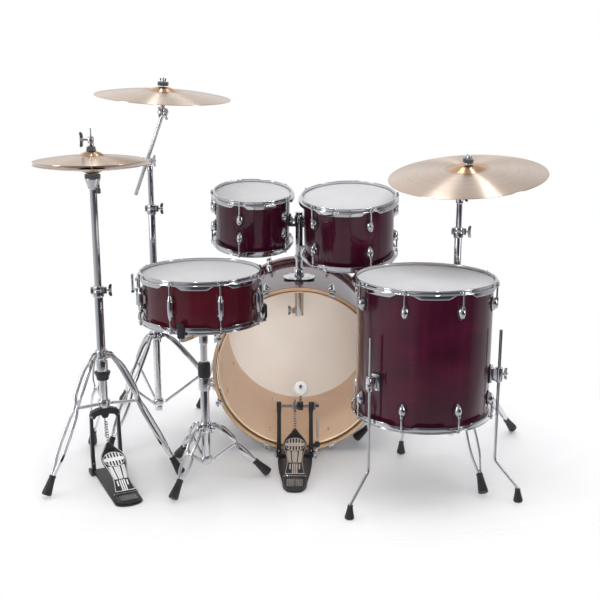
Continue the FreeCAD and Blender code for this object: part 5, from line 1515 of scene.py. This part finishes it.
def snare_stand():
    """The snare stand's tripod, tubes and basket."""
    tube, upper = 14.0, 11.0
    extra = Shape()
    tube_piece(extra, tube, 50.0, 345.0)
    extra.turned([(tube + 0.2, 300), (tube + 4.5, 302), (tube + 4.5, 344), (tube + 0.2, 346)], 1.2, None,
                 48)
    wing_bolt(extra, (tube + 3, -6, 330), (0.8, -0.6, 0), 10.0, 14.0)
    tripod("snare", STAND_AT, tube, 178.0, 67.0, 0.5, 201.0, -115.6, extra)
    black = Shape().turned([(upper + 0.4, 346), (19.0, 346), (20.0, 350), (20.0, 388), (18.5, 392),
                            (upper + 0.4, 392)], 1.4, STAND_AT, 40)
    black.piece("snare_black_clamp", RUBBER, "kit_base", None, (), STAND_AT)

    column = Shape()
    column.turned([(0, 200), (upper, 200), (upper, 452), (14.0, 456), (14.0, 480), (0, 482)], 1.0, STAND_AT,
                  36, closed=False)
    column.piece("snare_column_metal", CHROME, "snare_upper_tube_body", "chrome", ("snare_upper_tube",),
                 STAND_AT)

    hub = Vector((SNARE[0], SNARE[1] + 20, 500))
    basket, grips = Shape(), Shape()
    basket.rod(hub + Vector((0, 0, -12)), hub + Vector((0, 0, 12)), 19.0, soft=3.0)
    basket.rod(hub + Vector((-30, 0, 0)), hub + Vector((30, 0, 0)), 8.0, soft=2.0)
    basket.rod(hub, Vector((SNARE_STAND[0], SNARE_STAND[1], 500)), 9.0, soft=2.0)
    wing_bolt(basket, hub + Vector((28, 0, 0)), (1, 0, 0), 9.0, 14.0)
    for angle in GRIP_ANGLES:
        reach = 177.8 + 20.0
        way = Vector((math.cos(math.radians(angle)), math.sin(math.radians(angle)), 0))
        knee = Vector((SNARE[0], SNARE[1], 527)) + way * reach
        out = (knee - hub).normalized()
        lateral = Vector((0, 0, 1)).cross(out).normalized()
        section = soften([(-1.4, -5.4), (1.4, -5.4), (1.4, 5.4), (-1.4, 5.4)], 0.8, steps=2)
        for side in (-1, 1):
            path = [hub + out * 14 + lateral * side * 7, hub + out * 55 + lateral * side * 11,
                    hub + (knee - hub) * 0.55 + lateral * side * 11,
                    hub + (knee - hub) * 0.86 + lateral * side * 6,
                    knee + lateral * side * 4.5 + Vector((0, 0, 1))]
            basket.sweep(smooth_path(path, 4), section, None, lateral)
        basket.rod(knee - lateral * 6, knee + lateral * 6, 4.0, steps=16)
        basket.rod(knee + Vector((0, 0, -2)), knee + Vector((0, 0, 22)), 4.6, steps=18)
        grip = soften([(-8.5, -11), (5.5, -11), (7.5, 0), (5.5, 11), (-8.5, 11), (-10.0, 0)], 3.5)
        at = move(knee.x, knee.y, knee.z + 6) @ turn("Z", angle)
        grips.slab(grip, 0.0, 46.0, at, 4.0)
    basket.piece("snare_basket_metal", CHROME, "snare_cradle", "chrome", ("snare_basket",), STAND_AT)
    grips.piece("snare_basket_grips", RUBBER, "snare_cradle", None, (), STAND_AT)


# ---------------------------------------------------------------- bass pedal


def bass_pedal():
    """The bass pedal: frame, footboard, chain, shaft with beater, and return spring."""
    place = PEDAL_AT
    black = Shape()
    sole = soften([(-58, -14), (-58, -60), (-52, -140), (-40, -225), (-38, -262), (-24, -292), (0, -297),
                   (24, -292), (38, -262), (40, -225), (52, -140), (58, -60), (58, -14)], 12.0, steps=5)
    black.slab(sole, 0.4, 4.6, place, 1.2)
    black.block((-70, 70), (-14, 12), (0.6, 11.8), 5, place, 2.5)
    heel = soften([(-37, -218), (-38, -262), (-24, -293), (0, -296), (24, -293), (38, -262), (37, -218)],
                  12.0, steps=5)
    black.slab(heel, 4.2, 16.6, place, 2.5)
    for sign in (-1, 1):
        outline = [(sign * 45.5, 12), (sign * 64, 12), (sign * 62, 40), (sign * 60.5, 160),
                   (sign * 62, 164), (sign * 62, 195), (sign * 46.5, 195), (sign * 46.5, 164),
                   (sign * 47.5, 160), (sign * 47.5, 40)]
        if sign < 0:
            outline.reverse()
        black.slab(soften(outline, 2.5), -7.5, 7.5, place @ UPRIGHT, 2.0)
    black.block((-6, 34), (8, 32), (12.4, 18.0), 4, place, 1.5)
    black.block((68, 84), (-7, 7), (34.0, 52.0), 4, place, 2.0)
    black.block((58, 74), (-7, 7), (34.0, 44.0), 4, place, 2.0)
    black.piece("bass_pedal_black", BLACK, "kit_base", "black_metal", ("bass_pedal_frame",), place)

    bright = Shape()
    studs = Shape()
    heel_pad(studs, 30.0, -285.0, -228.0, 8)
    bright.take(studs, place @ move(0, 0, 16.6))
    bright.rod(place @ Vector((-37, -212, 19.5)), place @ Vector((37, -212, 19.5)), 2.8, steps=16)
    for sign in (-1, 1):
        bright.rod(place @ Vector((sign * 54, -7.0, 22)), place @ Vector((sign * 54, -11.5, 22)), 4.4,
                   steps=6)
        bright.rod(place @ Vector((sign * 64, -30, 6)), place @ Vector((sign * 64, -30, 24)), 3.4, steps=18)
    wing_bolt(bright, place @ Vector((62, -10, 16)), (0.75, -0.6, 0.25), 12.0, 17.0, (0.3, 0.5, 1))
    bright.rod(place @ Vector((77, 0, 50)), place @ Vector((77, 0, 62)), 3.0, steps=16)
    bright.piece("bass_pedal_bright", CHROME, "kit_base", "chrome", (), place)

    hinge = place @ move(0, -212, 19) @ turn("X", 21.4)
    footboard("bass_footboard", hinge, 206.0, "bass_footboard_body", "bass_footboard", TAUPE_TRIM)
    toe = Shape().slab(soften([(-15, 182), (15, 182), (7, 212), (-7, 212)], 4.0), 4.6, 11.0, hinge, 2.0)
    toe.piece("bass_toe_clamp", BLACK, "bass_footboard_body", "black_metal", (), hinge)
    links = Shape()
    chain(links, (0, -22.5, 178), (0, -24, 102), 9)
    links.moved(place).piece("bass_pedal_chain", STEEL, "bass_footboard_body", "steel_wire", (), place)

    shaft = place @ Vector((0, 0, SHAFT_HEIGHT))
    axle = Shape()
    axle.rod(shaft + Vector((-61, 0, 0)), shaft + Vector((82, 0, 0)), 4.9, steps=28)
    at_shaft = align(shaft, shaft + Vector((1, 0, 0)))
    teeth = []
    for step in range(60):
        angle = 2 * math.pi * step / 60
        teeth.append(((20.6 + 1.6 * math.cos(angle * 15)) * math.cos(angle),
                      (20.6 + 1.6 * math.cos(angle * 15)) * math.sin(angle)))
    axle.slab(teeth, -2.2, 2.2, at_shaft, 0.5)
    axle.turned([(5.0, -7.5), (13.0, -7.5), (13.0, 7.5), (5.0, 7.5)], 1.0, at_shaft, 32)
    axle.turned([(5.0, 64), (12.5, 64), (12.5, 72), (5.0, 72)], 1.0, at_shaft, 32)
    way = Vector((0, -130, 107)).normalized()
    stick_start = shaft + Vector((19, 0, 0))
    beater = shaft + Vector((19, -130, 107))
    axle.rod(stick_start - way * 14, beater + way * 6, 4.0, steps=20)
    axle.rod(beater + way * 14, beater + way * 19, 6.0, steps=6, soft=0.5)
    axle.rod(beater + way * 18, beater + way * 22, 3.4, steps=16)
    axle.piece("bass_beater_steel", STEEL, "bass_beater_body", "steel_wire", (), place)
    holder = Shape()
    hold_at = align(stick_start, stick_start + way, (1, 0, 0))
    holder.block((-9, 9), (-11, 11), (-14.0, 16.0), 3, hold_at, 2.0)
    holder.block((-19, -9), (-8, 8), (-10.0, 10.0), 2,
                 align(shaft, shaft + way, (1, 0, 0)) @ move(19, 0, 0), 1.5)
    holder.turned([(5.0, 61.5), (14.5, 61.5), (14.5, 63.8), (5.0, 63.8)], 0.6, at_shaft, 32)
    holder.block((-4, 4), (-13, 5), (72.2, 79.0), 3, at_shaft, 1.2)
    holder.piece("bass_beater_holder", BLACK, "bass_beater_body", "black_metal", (), place)
    puck = Shape()
    puck.turned([(4.2, -14), (18.6, -14), (23.6, -8.5), (24.4, 0), (23.6, 8.5), (18.6, 14), (4.2, 14)], 4.0,
                align(beater, beater + way), 48, arcs=5)
    puck.piece("bass_beater_puck", WHITE, "bass_beater_body", "beater_plastic", ("bass_beater",), place)

    coil = []
    turns = 19
    for step in range(turns * 14 + 1):
        angle = 2 * math.pi * step / 14
        height = 64.0 + 78.0 * step / (turns * 14)
        coil.append(Vector((77 + 4.6 * math.cos(angle), 4.6 * math.sin(angle), height)))
    coil += [Vector((77, 0, 146)), Vector((77, 0, 164))]
    spring = Shape().tube(coil, 1.15, place, 6, side=(0, 0, 1))
    spring.piece("bass_spring_coil", CHROME, "kit_base", "steel_wire", ("bass_pedal_spring",), place)


# ---------------------------------------------------------------- build

camera()
studio()
bass_drum()
spurs()
tom_mount()
rack_tom("high_tom", "high_tom", HIGH, 127.0, 177.8, -42.0)
rack_tom("mid_tom", "mid_tom", MID, 152.4, 203.2, -59.0)
floor_tom()
hi_hat()
hi_hat_pedal()
crash_stand()
ride_stand()
snare()
snare_stand()
bass_pedal()
